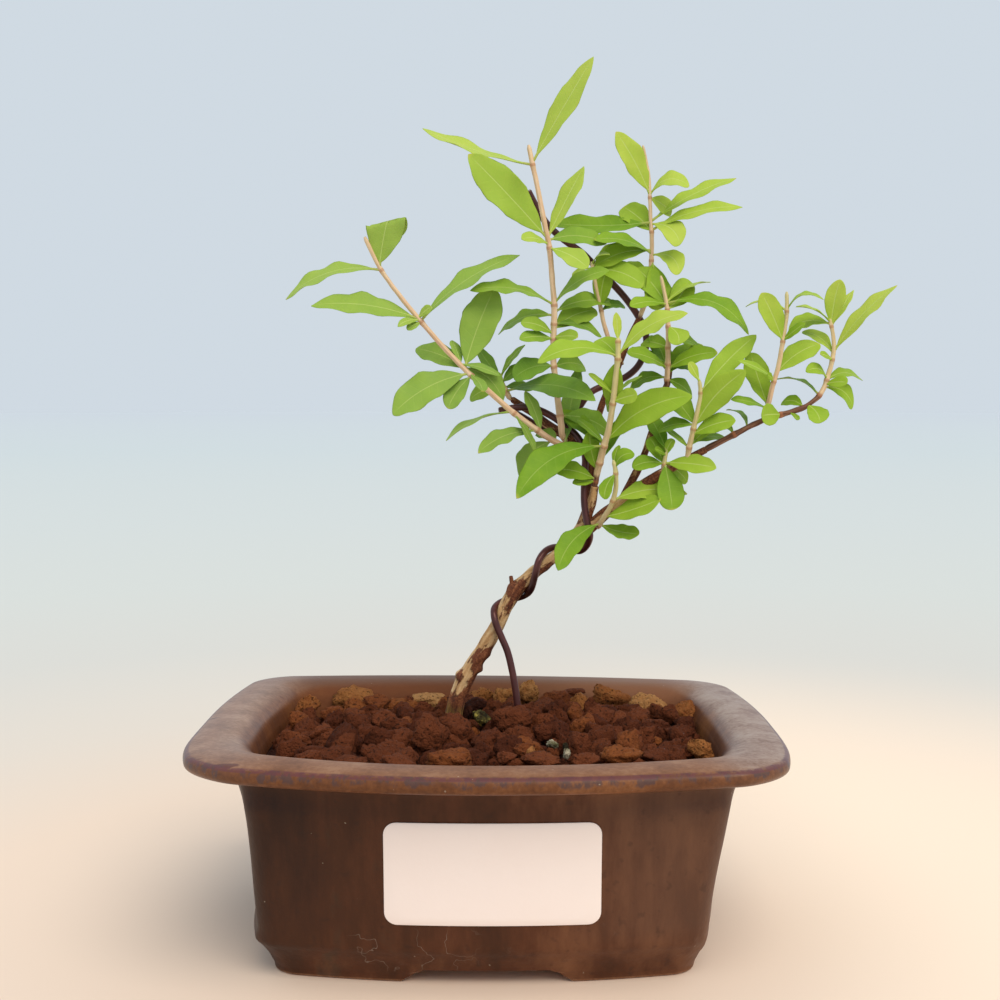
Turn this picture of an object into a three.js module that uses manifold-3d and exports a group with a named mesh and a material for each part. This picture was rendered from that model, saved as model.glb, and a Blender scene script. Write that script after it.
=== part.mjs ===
// Pomegranate bonsai trained with wire, standing in a footed glazed pot of coarse soil.
// Millimetres, +Z up, the front of the pot towards -Y, the origin under the middle of the object.
import * as THREE from 'three';
import Module from 'manifold-3d';

const wasm = await Module();
wasm.setup();

// Driving dimensions of the pot. Levels are [drawn in from the rim, height]; the left and right
// sides are drawn in by a little less, a share of it.
const rim = { halfX: 72.8, halfY: 59.5, corner: 10, bowX: 4.8, bowY: 5.8, sideShare: 0.915 };
const footLevels = [[21, 0], [20.3, 2.4], [19.4, 4.8], [17.6, 7.5]];
const wallLevels = [[15.8, 10.3], [14.1, 31.1], [13, 41.1], [12.1, 45.5], [10.8, 48.3]];
const lipLevels = [[7.5, 49.8], [2.6, 50.5], [0.7, 51.5], [0, 52.8], [0.4, 54], [2.2, 55], [6, 55.3]];
const coveLevels = [[10, 55.1], [12.8, 54.1], [15.2, 52.1], [17, 48.6], [17.9, 43.1]];
const insideLevels = [[19, 26], [20.5, 13]];
const floorHeight = 10;
const undersideHeight = 3.5;
const footWidth = 8;
const archHalf = { low: 20.5, high: 15.5 };
const sideArchHalf = { low: 14, high: 10 };
const drain = { radius: 6, x: 26 };
const netting = { half: 9.5, thick: 1.2, hole: 3.4, pitch: 5.2 };
const label = { width: 50, height: 24.7, corner: 3, thick: 0.45, x: 1.3, z: 28.6 };

// Driving dimensions of the soil and the wire. The bed's levels are as the pot's, and the granules
// rise further in the middle.
const soilMound = [[17.4, 48.6], [24, 50.9], [34, 52.1]];
const soilRise = 3.4;
const soilGap = 0.4;
const granule = { radius: 5.2, pitch: 10.4 };
const wireRadius = 0.9;
const holeGap = 0.3;

// Places on the plant are written as they line up from the front, on the upright plane through the
// middle of the pot: [across, height above the pot's crease, depth behind that plane].
const crease = 7;
const viewpoint = { x: 3, z: 131.5, distance: 371 };

// Slides a place along its line of sight from the plane to its real depth.
function sight(x, z, depth) {
  const k = (viewpoint.distance + depth) / viewpoint.distance;
  const across = viewpoint.x + (x - viewpoint.x) * k;
  const height = viewpoint.z + (z - viewpoint.z) * k + crease;
  return new THREE.Vector3(across, depth, height);
}

// Woody axes: [across, height, depth, radius].
const trunk = [
  [-9.2, 28, 6.2, 2.6], [-9.1, 44, 6.2, 2.5], [-8.4, 50, 6, 2.1], [-6.8, 56, 5.6, 2.3],
  [-4.6, 61, 5.2, 2.5], [-1, 66.8, 4.8, 2.1], [2, 72, 4.4, 1.9], [4.6, 77, 4, 1.75],
  [8, 82.4, 3.5, 1.9], [11, 85.2, 3, 1.7], [15, 88.4, 2.6, 1.4], [19, 91.5, 2.2, 1.5],
  [22.3, 94.9, 1.9, 1.7], [24.6, 99, 1.6, 1.5], [26, 105, 1.6, 1.3], [26.4, 110, 1.9, 1.2],
  [25.9, 115, 2.6, 1.2], [23.9, 118.8, 3.6, 1.2], [20.5, 120.6, 4.6, 1.2], [17.3, 122.6, 5.4, 1.1],
  [14, 124.8, 6, 1], [11.4, 126.8, 6.4, 0.95], [8.4, 128.8, 6.8, 0.9], [5.6, 130.8, 7, 0.8],
];
const leader = [[24.7, 99, 1.4, 1.3], [26.4, 103.7, 0.4, 1.2], [27.4, 108.2, -0.8, 1]];
const rightBranch = [
  [22, 94.8, 2, 1.7], [26, 97.5, 1, 1.6], [31, 101.8, 0, 1.4], [35.5, 105.3, -1, 1.25],
  [41, 109.3, -2.5, 1.2], [45.5, 112, -4, 1.1], [51, 115, -5.5, 1], [56, 117.7, -6.5, 0.95],
];
const upperBranch = [
  [34.5, 104.8, -0.6, 1], [36.5, 109, 0, 1], [38.8, 113.5, 1, 0.95], [40.7, 118.5, 2, 0.9],
  [42, 122.5, 3, 0.85], [43.5, 127.5, 4, 0.8], [44.8, 132, 4.6, 0.8], [45.8, 135, 5, 0.8],
  [46.5, 139.8, 5, 0.6],
];
const middleBranch = [
  [25.3, 110.5, 2.2, 1], [26.4, 117, 5, 0.95], [27.3, 122.5, 6.5, 0.9], [28.3, 126.5, 7.5, 0.85],
  [29.6, 130.5, 8, 0.8], [32, 136, 8.3, 0.8], [34, 141, 8.5, 0.75], [36, 146, 8.8, 0.75],
  [38.4, 151, 9, 0.7],
];
const deadTwig = [[6.6, 81.8, 3.6, 0.9], [6, 83.6, 3.4, 0.5], [5.8, 85, 3.2, 0.4]];

// Training wires: [across, height, depth].
const lowerWire = [
  [8.2, 30, -1], [8.2, 42, -1], [7.9, 49, -1], [7.2, 55.5, -0.6], [6.1, 61, 0], [4.6, 66.4, 0.6],
  [2.8, 71, 1.3], [1.7, 74.2, 1.6], [1.35, 76.2, 2.6], [1.8, 78.2, 4.7], [4.3, 78.9, 6.3],
  [6.9, 79.5, 7], [9.4, 80, 6], [11, 81.6, 1.9], [11.8, 84.2, 0.6], [12.5, 87, 0],
  [13.6, 89.6, 0.1], [15, 91.3, 0.8], [16.7, 92.9, 3.2], [19.2, 92.8, 4.8], [21.6, 91.8, 4.9],
  [23.6, 91.5, 3.2], [25.3, 92.9, 0.4], [26.1, 95.3, -1.7], [25.5, 98.3, -2.5], [24.9, 101.5, -2.1],
  [24.6, 104.5, -1.6], [24.6, 108, -0.9], [24.7, 112, -0.3], [24.8, 115.6, 0.2], [23.9, 119, 1],
  [22, 121.7, 2.2], [19.6, 123.6, 3], [17.1, 125.5, 3.8], [14, 127.2, 4.3], [10.8, 128.3, 4.2],
  [7, 128.2, 4.4], [2.6, 127.4, 4.6],
];
const upperWire = [
  [6.2, 127.2, 8.6], [9.5, 125.4, 8.6], [13, 123.3, 8.6], [16.5, 121.6, 8.2], [19.5, 122.9, 8],
  [23, 128, 9], [26, 132, 10], [30, 134, 10.6], [35, 136, 10.7], [38.3, 139, 10.7],
  [40.2, 144, 10.7], [39.8, 148, 10.8], [38, 151.6, 11], [35, 155.8, 11], [31, 160.2, 10.5],
  [27, 164.2, 10], [24, 167.2, 9.5], [19, 170.8, 8.5], [15, 174.5, 7.5], [12.4, 178.5, 7],
  [10, 183, 6.5],
];

// Leafy shoots. Each has its stem's route, its radius at root and tip, and its leaves:
// [height of the node on the stem, tip across, tip height, tip's depth beyond the node,
//  width, turn of the blade from edge-on at 0 to facing front at 90, rise of the arch].
const shoots = {
  top_shoot: {
    route: [
      [19.6, 120.2, 3.4], [18.9, 121.5, 1], [18.6, 124.2, 0], [17.8, 130, 1],
      [17.2, 135, 1.5], [16.6, 140, 1], [16.6, 146, 0], [16.8, 154, -1], [16.3, 160, -1.5],
      [15.6, 168, -2], [13.8, 177, -3], [12, 186, -3.5], [11, 190.5, -4], [10.2, 194.3, -4],
    ],
    radii: [0.85, 0.55],
    leaves: [
      [189.8, 26.5, 216.3, -3, 6.4, 68, 0.5], [189.4, -16.5, 198.4, 4, 7, 24, -1.2],
      [171, -5, 192, -4, 9.5, 80, 0.5], [171, 24.2, 189, 5, 5.6, 54, -0.3],
      [169.5, 8.5, 170.8, -6, 4.5, 40, 0.8], [168.6, 25.3, 163.6, -6, 6, 55, 0.6],
      [154.2, -4.6, 157.9, 3, 7, 22, 2.4], [154.6, 30.6, 163, -4, 6.5, 30, 1.6],
      [151.6, 2.6, 146.8, 8, 6, 35, 1.8], [152, 26.5, 153.4, 8, 6, 45, 1],
      [146.8, 8.3, 149.8, -3, 4.5, 50, 0.8], [145.6, 8, 145.6, -5, 4.5, 45, 0.8],
      [146, 22.8, 146.2, -4, 4, 55, 0.3], [149.4, 28.8, 146.2, 3, 5, 30, 1.5],
      [138.8, 6.5, 135.6, -2, 7, 55, 1.5], [138.6, 24.5, 138.6, 6, 6, 60, 1],
      [126, 31.2, 121.6, 4, 6.5, 55, 1.8],
    ],
  },
  left_shoot: {
    route: [
      [22.4, 118.8, 3.2], [20.2, 118.4, 1], [17, 119.6, -0.6], [13.5, 121.8, -1.8],
      [9.5, 124.6, -2.5],
      [5.5, 127.7, -3], [0, 132.5, -4], [-6, 138, -5], [-11.5, 143.7, -6], [-17, 150, -7],
      [-22, 156, -8], [-27.2, 163.2, -9], [-31.3, 171.4, -10],
    ],
    radii: [0.8, 0.5],
    leaves: [
      [163.8, -22.3, 177, -3, 9, 80, 0.9], [163, -51.4, 155.6, 4, 7, 32, 3.4],
      [150.6, -45, 154, -4, 7.5, 48, 2.4], [150.2, 8, 166.8, 6, 7.5, 34, 2.2],
      [151, -14.4, 153.8, -2, 2.6, 60, 0.2], [150, -20.6, 148, -2, 2.4, 60, 0.2],
      [150.4, -23, 148.8, -4, 2.4, 55, 0.6], [138, 1.6, 158.3, -2, 10.4, 84, 0.7],
      [136.9, -23.8, 126.4, -5, 8, 62, 2.2], [136.4, -10.3, 128, -4, 5.5, 62, 0.4],
      [137.9, -18.4, 143.2, 5, 6.5, 58, 0.8], [139, -9.2, 145.3, 4, 3.5, 40, 0.3],
      [138.4, 3.8, 129.9, 4, 6, 62, 1.6], [139.2, 3.1, 136.2, 2, 3.4, 35, 0.8],
      [136.8, -1.4, 132.3, -6, 4, 40, 0.4], [127.2, -10.8, 119.8, -5, 5.5, 10, 1.6],
      [126.8, 12, 116.8, -3, 4, 28, 0.4], [122.4, -2.6, 116.6, -6, 6, 38, 1.4],
      [119.8, 8.6, 109.4, 3, 6.5, 60, 2.2],
    ],
  },
  left_end_shoot: {
    route: [[5, 131.6, 6.8], [3.7, 134, 6.4], [2.8, 137, 5.6]],
    radii: [0.7, 0.5],
    leaves: [
      [132.4, 27.4, 130, -18, 8, 42, 2.4], [136, 9.4, 144.2, -1, 3.6, 30, 0.4],
      [135.8, -2.6, 143.4, 2, 4.6, 45, -0.4], [134.6, 9, 138.4, -2, 4.4, 50, 0.6],
      [133, -4.7, 130.2, 1, 5, 55, 1.2], [133.4, 11.4, 133, 3, 3.6, 45, 0.6],
    ],
  },
  front_shoot: {
    route: [
      [27.3, 108.8, -1], [28.1, 112.5, -2], [29.5, 118, -4], [30.6, 122, -5.5],
      [31.8, 129, -8], [32.4, 135, -9.5], [33, 141, -11], [33.1, 146, -11.5],
    ],
    radii: [0.9, 0.6],
    leaves: [
      [145, 32.5, 152.4, -0.3, 2.6, 60, 0], [141.2, 12.6, 139.6, -5, 8, 34, 2.8],
      [141.4, 50.7, 152.2, -5, 7, 38, 2], [141, 28.2, 145.6, 5, 6, 60, 0.6],
      [131.6, 25.6, 136.9, -2, 3.2, 28, 0], [131.2, 39.2, 136.3, 2, 3, 12, 0.4],
      [129.8, 38, 131.6, -4, 4.2, 70, 0.3], [129.2, 30.2, 128.6, 4, 3.6, 70, 0.2],
      [118.4, 7.2, 105, -12, 8.5, 55, 3.6], [118.8, 52, 131.3, -8, 8.5, 62, 3.2],
      [119, 22.6, 125.4, 3, 4.4, 30, 0.3], [112, 25.8, 122.2, -1.4, 5.2, 68, -0.4],
      [109.8, 16.9, 112.2, -5, 5.6, 52, 0.8], [109.4, 21.6, 108.9, -3, 2.8, 50, 0.3],
    ],
  },
  lower_shoot: {
    route: [
      [28.4, 98, -1], [28.7, 98.6, -2.6], [29.7, 100.2, -4.4], [31.6, 103.4, -6.2],
      [32.7, 107.8, -7.5], [32.6, 112, -8.5], [32, 114.8, -9],
    ],
    radii: [0.75, 0.5],
    leaves: [
      [98.6, 17.7, 86.5, -9, 7.5, 62, 1.8], [98.4, 38.8, 95.9, -2, 5.5, 38, -1],
      [100.2, 44.2, 104.8, -5, 6.5, 46, -0.6], [104.4, 51, 106.2, 4, 7, 46, 1.8],
      [111.4, 29.8, 104.8, -2, 3.8, 55, 0.6], [112.6, 37.3, 116.6, -2, 4, 50, 1.2],
      [113.8, 33.4, 118.6, 3, 2.6, 40, 0.2],
    ],
  },
  middle_shoot: {
    route: [
      [33.5, 140.3, 8.1], [32.4, 141.7, 6.8], [31.2, 144, 5.6], [30.2, 147, 5], [29.3, 150, 5],
      [28.7, 153, 5],
      [27.6, 158, 4.5], [26.6, 163, 4], [26.2, 165.2, 4],
    ],
    radii: [0.65, 0.45],
    leaves: [
      [164, 36.8, 167.8, 2, 6, 55, 1.2], [163, 39.4, 159, -3, 7, 62, 1.8],
      [163.4, 21.8, 160.6, -3, 3.6, 25, 1.2], [164.4, 30.8, 166.9, -3, 3, 14, 1.2],
      [153.6, 30, 162.8, -2, 5.5, 68, 0.4], [152.8, 34.8, 153.6, 0, 5, 32, 1],
    ],
  },
  back_shoot: {
    route: [
      [38.9, 152.2, 8], [40.2, 156, 7], [41, 161, 6.2], [41.4, 166, 6], [41.4, 172.5, 5],
      [41.1, 176, 5], [40.9, 181, 4.5], [40.5, 187, 4], [39, 194.2, 3],
    ],
    radii: [0.65, 0.35],
    leaves: [
      [182, 32.2, 197.6, -4, 7.5, 76, 0.4], [181.8, 50.8, 184.2, -4, 6, 42, 2.8],
      [181.2, 46.4, 177.4, 3, 5.4, 62, 0.4], [175.2, 62.6, 186, 5, 7, 34, 1.6],
      [174.6, 48.6, 169.4, -5, 6.5, 66, 1.8], [172.6, 34.2, 178.8, 5, 7, 74, 0.4],
      [175, 15.6, 174.8, 6, 7.5, 48, -0.8], [167.2, 26.8, 170.6, -5, 6.5, 34, 1.8],
      [166.8, 48.6, 162.2, -4, 6, 58, 2.2], [165.4, 42.6, 153, -4, 7.5, 70, 0.6],
      [173, 64.3, 178.8, -2, 7, 36, 2], [161.6, 33, 163.6, 5, 5, 55, 0.8],
    ],
  },
  inner_shoot: {
    route: [
      [45.5, 134.6, 3.4], [45.7, 138, 2.2], [45.8, 144.5, 1.5], [45.7, 150, 1], [45.4, 154, 1],
      [44.6, 158, 1], [43.8, 161.6, 0.5],
    ],
    radii: [0.7, 0.4],
    leaves: [
      [154.4, 36, 154, -4, 5, 34, 0.8], [154.6, 66.3, 146.8, -4, 7.5, 40, 4.2],
      [154.8, 56.4, 160, 4, 5, 18, 1.4], [153, 50.8, 160.6, 5, 6, 72, -0.4],
      [148.8, 48.4, 144.2, -4, 6, 68, 1], [138.2, 35.4, 142.2, -4, 6, 38, 0.8],
      [139.2, 36.6, 143.6, 5, 4.4, 20, 0.4], [138, 58.4, 142.2, -3, 6.5, 44, 1],
      [138.6, 52, 138.2, 4, 4, 40, 0.5], [145.2, 54, 143.4, 4, 5, 36, 1],
      [143.4, 39.6, 145, 6, 5.6, 50, 0.4], [135.8, 35.8, 132, 5, 5.6, 34, 1.8],
      [135.4, 52, 130.8, 4, 5, 50, 1],
    ],
  },
  right_cluster: {
    route: [[45, 113.4, -4.4], [45.2, 115, -5], [45.8, 117.4, -5.5]],
    radii: [0.6, 0.4],
    leaves: [
      [113.8, 41.2, 120.6, 1, 5, 66, 0.3], [113.8, 36.9, 112.9, -3, 4.6, 52, 0.8],
      [114, 47.2, 102, -5, 7, 80, 0.6], [114.2, 51, 109.2, 4, 4.5, 55, 0.6],
      [114, 58.4, 112.8, -7, 5.5, 52, 0.8], [116, 47.4, 120.2, -1, 2.8, 50, 0.2],
      [116, 42.6, 117.6, -3, 2.4, 40, 0.2],
    ],
  },
  right_front_shoot: {
    route: [
      [51.2, 116.4, -6.6], [51.6, 119, -7.5], [52.6, 123.5, -9], [53.6, 128, -10],
      [54.2, 131.5, -10.5], [53.8, 135.4, -11],
    ],
    radii: [0.7, 0.45],
    leaves: [
      [135, 51.2, 139.8, -1, 2.8, 60, 0], [132, 68.2, 146.7, 4, 7.5, 64, 0.6],
      [122.8, 65.6, 137.8, -6, 8, 78, 0.8], [121.2, 63.2, 125, -5, 5.5, 52, 0.8],
      [118.4, 57.2, 123.8, 3, 3.6, 45, 0.3], [119.2, 61, 120.4, 6, 4.6, 34, 0.8],
      [123.8, 43.4, 122.3, 4, 5.5, 34, 0.8], [124, 47.2, 131.2, 4, 6, 62, 0.2],
      [118, 44.6, 123.4, 2, 3, 34, 0.2],
    ],
  },
  right_shoot: {
    route: [
      [56.5, 118, -6.6], [61, 120.4, -7.5], [66, 123.1, -8], [70.5, 125.1, -8],
      [76, 126.8, -7.5], [80, 128.1, -7], [83.8, 130.6, -6.5], [85.6, 133.2, -6],
      [86.6, 136.2, -6], [87.7, 140.6, -6], [88, 144, -6], [87.5, 148, -6], [86.7, 151.2, -6],
    ],
    radii: [0.95, 0.45],
    leaves: [
      [148.8, 89.3, 160.7, -2, 5, 76, 0.3], [150, 78.2, 153.8, -3, 4, 16, 1.2],
      [149.4, 76.4, 148, 3, 6, 38, 1.4], [149, 92.8, 158, 4, 3, 40, 0.3],
      [142.2, 104, 159.2, -4, 6.5, 44, 1.4], [142, 80, 147.6, 4, 5, 45, 1],
      [140.4, 84.6, 141.8, -4, 2.6, 45, 0.2], [135.2, 95.3, 135.2, 4, 5, 28, 1.8],
      [134.2, 91.6, 134.6, -4, 4, 45, 0.4], [133.4, 93.1, 128.4, 2, 5.5, 50, 1.6],
      [135.4, 81, 137.4, -4, 4, 45, 1.8], [131.4, 73.4, 135.4, 6, 4.5, 14, 1.8],
      [129, 84.8, 124.3, -4, 6, 66, 0.6], [128.4, 75, 129.6, 4, 4, 50, 0.8],
      [127.2, 78.9, 125.1, -2, 3, 40, 0.2], [126.4, 69.8, 126.2, -6, 5.6, 78, 0.4],
      [123.2, 60.9, 127.6, 4, 4, 22, 1.6], [121.4, 57.4, 124.6, 4, 3.6, 30, 0.8],
    ],
  },
  right_upper_shoot: {
    route: [
      [71, 126.8, -8.4], [71.6, 129.5, -9], [72.6, 134, -10], [74, 139, -10.5],
      [74.8, 144, -11], [75.4, 148, -11], [75.9, 152.5, -11], [75.8, 157.6, -11],
    ],
    radii: [0.65, 0.45],
    leaves: [
      [145, 69.4, 157.3, -3, 6, 74, 0.3], [152.6, 65.4, 153.8, 3, 4.2, 16, 2],
      [153, 85.2, 155.6, -3, 4.2, 14, 2.6], [145.2, 80.6, 149.6, -4, 3.4, 35, 0.3],
      [136.8, 84.4, 144.4, 4, 7, 60, 1.2], [134.8, 71.2, 136.6, -2, 2.2, 50, 0.1],
      [128.6, 66.8, 142.2, 3, 6.6, 70, -0.4], [135.4, 63.6, 140.1, -4, 3.4, 35, 0.4],
      [128, 62, 130.3, -4, 3.8, 28, 0.6],
    ],
  },
};

// Stations along a leaf: [fraction of its length, half width as a fraction of the widest].
const leafStations = [[0.3, 0.72], [0.56, 1], [0.82, 0.7]];
const leafThickness = 0.8;
const petioleHalf = 0.45;
const leafFold = 0.16;

// Closes a stack of rings, each turning anticlockwise about the way the stack runs, into a solid.
// A ring of one point closes to a tip.
function skin(rings) {
  const points = rings.flat();
  const faces = [];
  let first = 0;
  rings.forEach((ring, level) => {
    const next = rings[level + 1];
    const above = first + ring.length;
    const n = Math.max(ring.length, next ? next.length : 0);
    for (let j = 0; next && j < n; j++) {
      const k = (j + 1) % n;
      if (next.length === 1) {
        faces.push(first + j, first + k, above);
      } else {
        faces.push(first + j, first + k, above + k);
        faces.push(first + j, above + k, above + j);
      }
    }
    first = above;
  });
  const cap = (start, count, up) => {
    for (let j = 1; j < count - 1; j++) {
      faces.push(start, start + (up ? j : j + 1), start + (up ? j + 1 : j));
    }
  };
  const last = rings.at(-1).length;
  cap(0, rings[0].length, false);
  cap(points.length - last, last, true);
  const vertProperties = new Float32Array(points.flatMap((p) => p.toArray()));
  return new wasm.Manifold(
    new wasm.Mesh({ numProp: 3, vertProperties, triVerts: new Uint32Array(faces) }),
  );
}

// A closed three.js geometry as a solid: its equal vertices are merged first.
function solidOf(geometry) {
  const source = geometry.index ? geometry.toNonIndexed() : geometry;
  const place = source.getAttribute('position');
  const seen = new Map();
  const points = [];
  const triVerts = new Uint32Array(place.count);
  for (let i = 0; i < place.count; i++) {
    const p = new THREE.Vector3().fromBufferAttribute(place, i);
    const key = p.toArray().map((v) => Math.round(v * 1e4)).join();
    if (!seen.has(key)) {
      seen.set(key, seen.size);
      points.push(...p.toArray());
    }
    triVerts[i] = seen.get(key);
  }
  return new wasm.Manifold(
    new wasm.Mesh({ numProp: 3, vertProperties: new Float32Array(points), triVerts }),
  );
}

function block(width, depth, height, x, y, z) {
  return solidOf(new THREE.BoxGeometry(width, depth, height).translate(x, y, z));
}

// A flat shape in X and Z, pushed along Y from y to y + length.
function slab(shape, y, length) {
  const geometry = new THREE.ExtrudeGeometry(shape, { depth: length, bevelEnabled: false, curveSegments: 3 });
  return solidOf(geometry.rotateX(Math.PI / 2).translate(0, y + length, 0));
}

function union(solids) {
  return solids.reduce((all, one) => all.add(one));
}

function largest(solid) {
  return solid.decompose().sort((a, b) => b.volume() - a.volume())[0];
}

// One level of the pot from above: a rectangle with round corners, drawn in from the rim, whose
// sides swell outwards by a parabola.
function outline(inset, z, cornerSteps = 4, frontSteps = 4, sideSteps = 2) {
  const flatX = rim.halfX - inset * rim.sideShare - rim.bowX;
  const flatY = rim.halfY - inset - rim.bowY;
  const corner = Math.max(rim.corner - inset / 2, 4);
  const signs = [[1, 1], [-1, 1], [-1, -1], [1, -1]];
  const arcs = signs.map(([sx, sy], quarter) => {
    const arc = [];
    for (let k = 0; k <= cornerSteps; k++) {
      const angle = (quarter + k / cornerSteps) * Math.PI / 2;
      const x = sx * (flatX - corner) + corner * Math.cos(angle);
      const y = sy * (flatY - corner) + corner * Math.sin(angle);
      arc.push(new THREE.Vector3(x, y, z));
    }
    return arc;
  });
  const ring = [];
  arcs.forEach((arc, quarter) => {
    ring.push(...arc);
    const steps = quarter % 2 ? sideSteps : frontSteps;
    const target = arcs[(quarter + 1) % 4][0];
    for (let k = 1; k < steps; k++) ring.push(arc.at(-1).clone().lerp(target, k / steps));
  });
  return ring.map((p) => new THREE.Vector3(
    p.x * (1 + rim.bowX / flatX * (1 - (p.y / flatY) ** 2)),
    p.y * (1 + rim.bowY / flatY * (1 - (p.x / flatX) ** 2)),
    z,
  ));
}

function levels(list, out = 0) {
  return list.map(([inset, z]) => outline(inset - out, z));
}

// A low arch cut under one side of the pot, sloping in from its feet.
function archCut(half, length) {
  const shape = new THREE.Shape();
  shape.moveTo(-half.low, -1);
  shape.lineTo(half.low, -1);
  shape.lineTo(half.low, 0);
  shape.lineTo(half.high, undersideHeight);
  shape.lineTo(-half.high, undersideHeight);
  shape.lineTo(-half.low, 0);
  return slab(shape, -length / 2, length);
}

function makePot() {
  const body = skin(levels([
    ...footLevels, ...wallLevels, ...lipLevels, ...coveLevels, ...insideLevels, [20.5, floorHeight],
  ]));
  const inner = footLevels[0][0] + footWidth;
  const pocket = skin(levels([[inner, -1], [inner, undersideHeight]]));
  const hole = (x) => solidOf(
    new THREE.CylinderGeometry(drain.radius, drain.radius, 20, 16)
      .rotateX(Math.PI / 2).translate(x, 0, floorHeight - 5),
  );
  return body
    .subtract(pocket)
    .subtract(archCut(archHalf, 200))
    .subtract(archCut(sideArchHalf, 200).rotate([0, 0, 90]))
    .subtract(hole(-drain.x))
    .subtract(hole(drain.x));
}

// A square of plastic netting over a drain hole.
function makeNetting(x) {
  const z = floorHeight + netting.thick / 2;
  const side = 2 * netting.half;
  const holes = [];
  for (const i of [-1, 0, 1]) {
    for (const j of [-1, 0, 1]) {
      holes.push(block(netting.hole, netting.hole, 4, x + i * netting.pitch, j * netting.pitch, z));
    }
  }
  return block(side, side, netting.thick, x, 0, z).subtract(union(holes));
}

// A blank sticker that follows the front wall.
function makeLabel() {
  const { width, height, corner, thick } = label;
  const halfX = width / 2;
  const halfZ = height / 2;
  const shape = new THREE.Shape();
  shape.moveTo(label.x - halfX + corner, label.z - halfZ);
  shape.absarc(label.x + halfX - corner, label.z - halfZ + corner, corner, -Math.PI / 2, 0);
  shape.absarc(label.x + halfX - corner, label.z + halfZ - corner, corner, 0, Math.PI / 2);
  shape.absarc(label.x - halfX + corner, label.z + halfZ - corner, corner, Math.PI / 2, Math.PI);
  shape.absarc(label.x - halfX + corner, label.z - halfZ + corner, corner, Math.PI, 1.5 * Math.PI);
  const wall = (out) => skin(levels([...footLevels, ...wallLevels], out));
  return slab(shape, -80, 60).intersect(wall(thick + 0.05).subtract(wall(0.05)));
}

// A tapering tube through [across, height, depth, radius] places, with its frame carried along.
function tube(places, sides, steps, fatten = 0) {
  const curve = new THREE.CatmullRomCurve3(
    places.map(([x, z, depth]) => new THREE.Vector3(x, depth, z)), false, 'centripetal',
  );
  const spread = places.length - 1;
  const centres = [];
  const radii = [];
  for (let i = 0; i <= steps; i++) {
    const t = i / steps;
    const p = curve.getPoint(t);
    const k = Math.min(Math.floor(t * spread), spread - 1);
    centres.push(sight(p.x, p.z, p.y));
    radii.push(THREE.MathUtils.lerp(places[k][3], places[k + 1][3], t * spread - k) + fatten);
  }
  const side = new THREE.Vector3(1, 0, 0);
  const rings = centres.map((centre, i) => {
    const ahead = centres[Math.min(i + 1, steps)].clone().sub(centres[Math.max(i - 1, 0)]).normalize();
    side.addScaledVector(ahead, -side.dot(ahead)).normalize();
    const across = ahead.clone().cross(side);
    const ring = [];
    for (let j = 0; j < sides; j++) {
      const a = j * 2 * Math.PI / sides;
      ring.push(centre.clone()
        .addScaledVector(side, radii[i] * Math.cos(a))
        .addScaledVector(across, radii[i] * Math.sin(a)));
    }
    return ring;
  });
  return skin(rings);
}

function makeWood(fatten = 0) {
  const limbs = [
    tube(trunk, 7, 34, fatten), tube(leader, 6, 3, fatten), tube(rightBranch, 6, 9, fatten),
    tube(upperBranch, 5, 9, fatten), tube(middleBranch, 5, 9, fatten), tube(deadTwig, 4, 2, fatten),
  ];
  return union(limbs);
}

function wireTube(places, fatten = 0) {
  return tube(places.map((p) => [...p, wireRadius]), 6, Math.round(places.length * 1.7), fatten);
}

// A leaf from its node to its tip: a petiole and a folded blade with a four-sided section. The
// middle line rises in a parabola, and the upper face turns from the sky towards the front.
function makeLeaf(base, tip, width, turn, arch) {
  const along = tip.clone().sub(base);
  const length = along.length();
  along.normalize();
  const front = new THREE.Vector3(0, -1, 0);
  front.addScaledVector(along, -front.dot(along)).normalize();
  const rise = along.clone().cross(front);
  if (rise.z < 0) rise.negate();
  const angle = THREE.MathUtils.degToRad(turn);
  const up = rise.clone().multiplyScalar(Math.cos(angle)).addScaledVector(front, Math.sin(angle));
  const across = up.clone().cross(along);
  const station = (t, half, fold) => {
    const centre = base.clone().addScaledVector(along, length * t)
      .addScaledVector(rise, 4 * arch * t * (1 - t));
    const point = (w, h) => centre.clone().addScaledVector(across, w).addScaledVector(up, h);
    const thick = leafThickness / 2;
    return [point(half, fold), point(0, thick), point(-half, fold), point(0, -thick)];
  };
  const rings = [station(0, petioleHalf, 0)];
  for (const [t, spread] of leafStations) {
    const half = Math.max(spread * width / 2, petioleHalf);
    rings.push(station(t, half, leafFold * (half - petioleHalf)));
  }
  rings.push([tip]);
  return skin(rings);
}

// A stem with the leaves that grow on it. A leaf's node is the place on the stem at its height.
function makeShoot({ route, radii, leaves }) {
  const last = route.length - 1;
  const places = route.map((p, i) => [...p, THREE.MathUtils.lerp(radii[0], radii[1], i / last)]);
  const nodeAt = (height) => {
    let i = 0;
    while (i < last - 1 && route[i + 1][1] < height) i++;
    const t = THREE.MathUtils.clamp((height - route[i][1]) / (route[i + 1][1] - route[i][1]), 0, 1);
    return route[i].map((v, axis) => THREE.MathUtils.lerp(v, route[i + 1][axis], t));
  };
  const blades = leaves.map(([height, x, z, beyond, width, turn, arch]) => {
    const [nx, nz, depth] = nodeAt(height);
    return makeLeaf(sight(nx, nz, depth), sight(x, z, depth + beyond), width, turn, arch);
  });
  return union([tube(places, 5, Math.round(last * 1.5)), ...blades]);
}

// A repeatable stream of numbers from 0 to 1.
function randomFrom(seed) {
  let state = seed;
  return () => {
    state = (state * 1664525 + 1013904223) % 4294967296;
    return state / 4294967296;
  };
}

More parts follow.
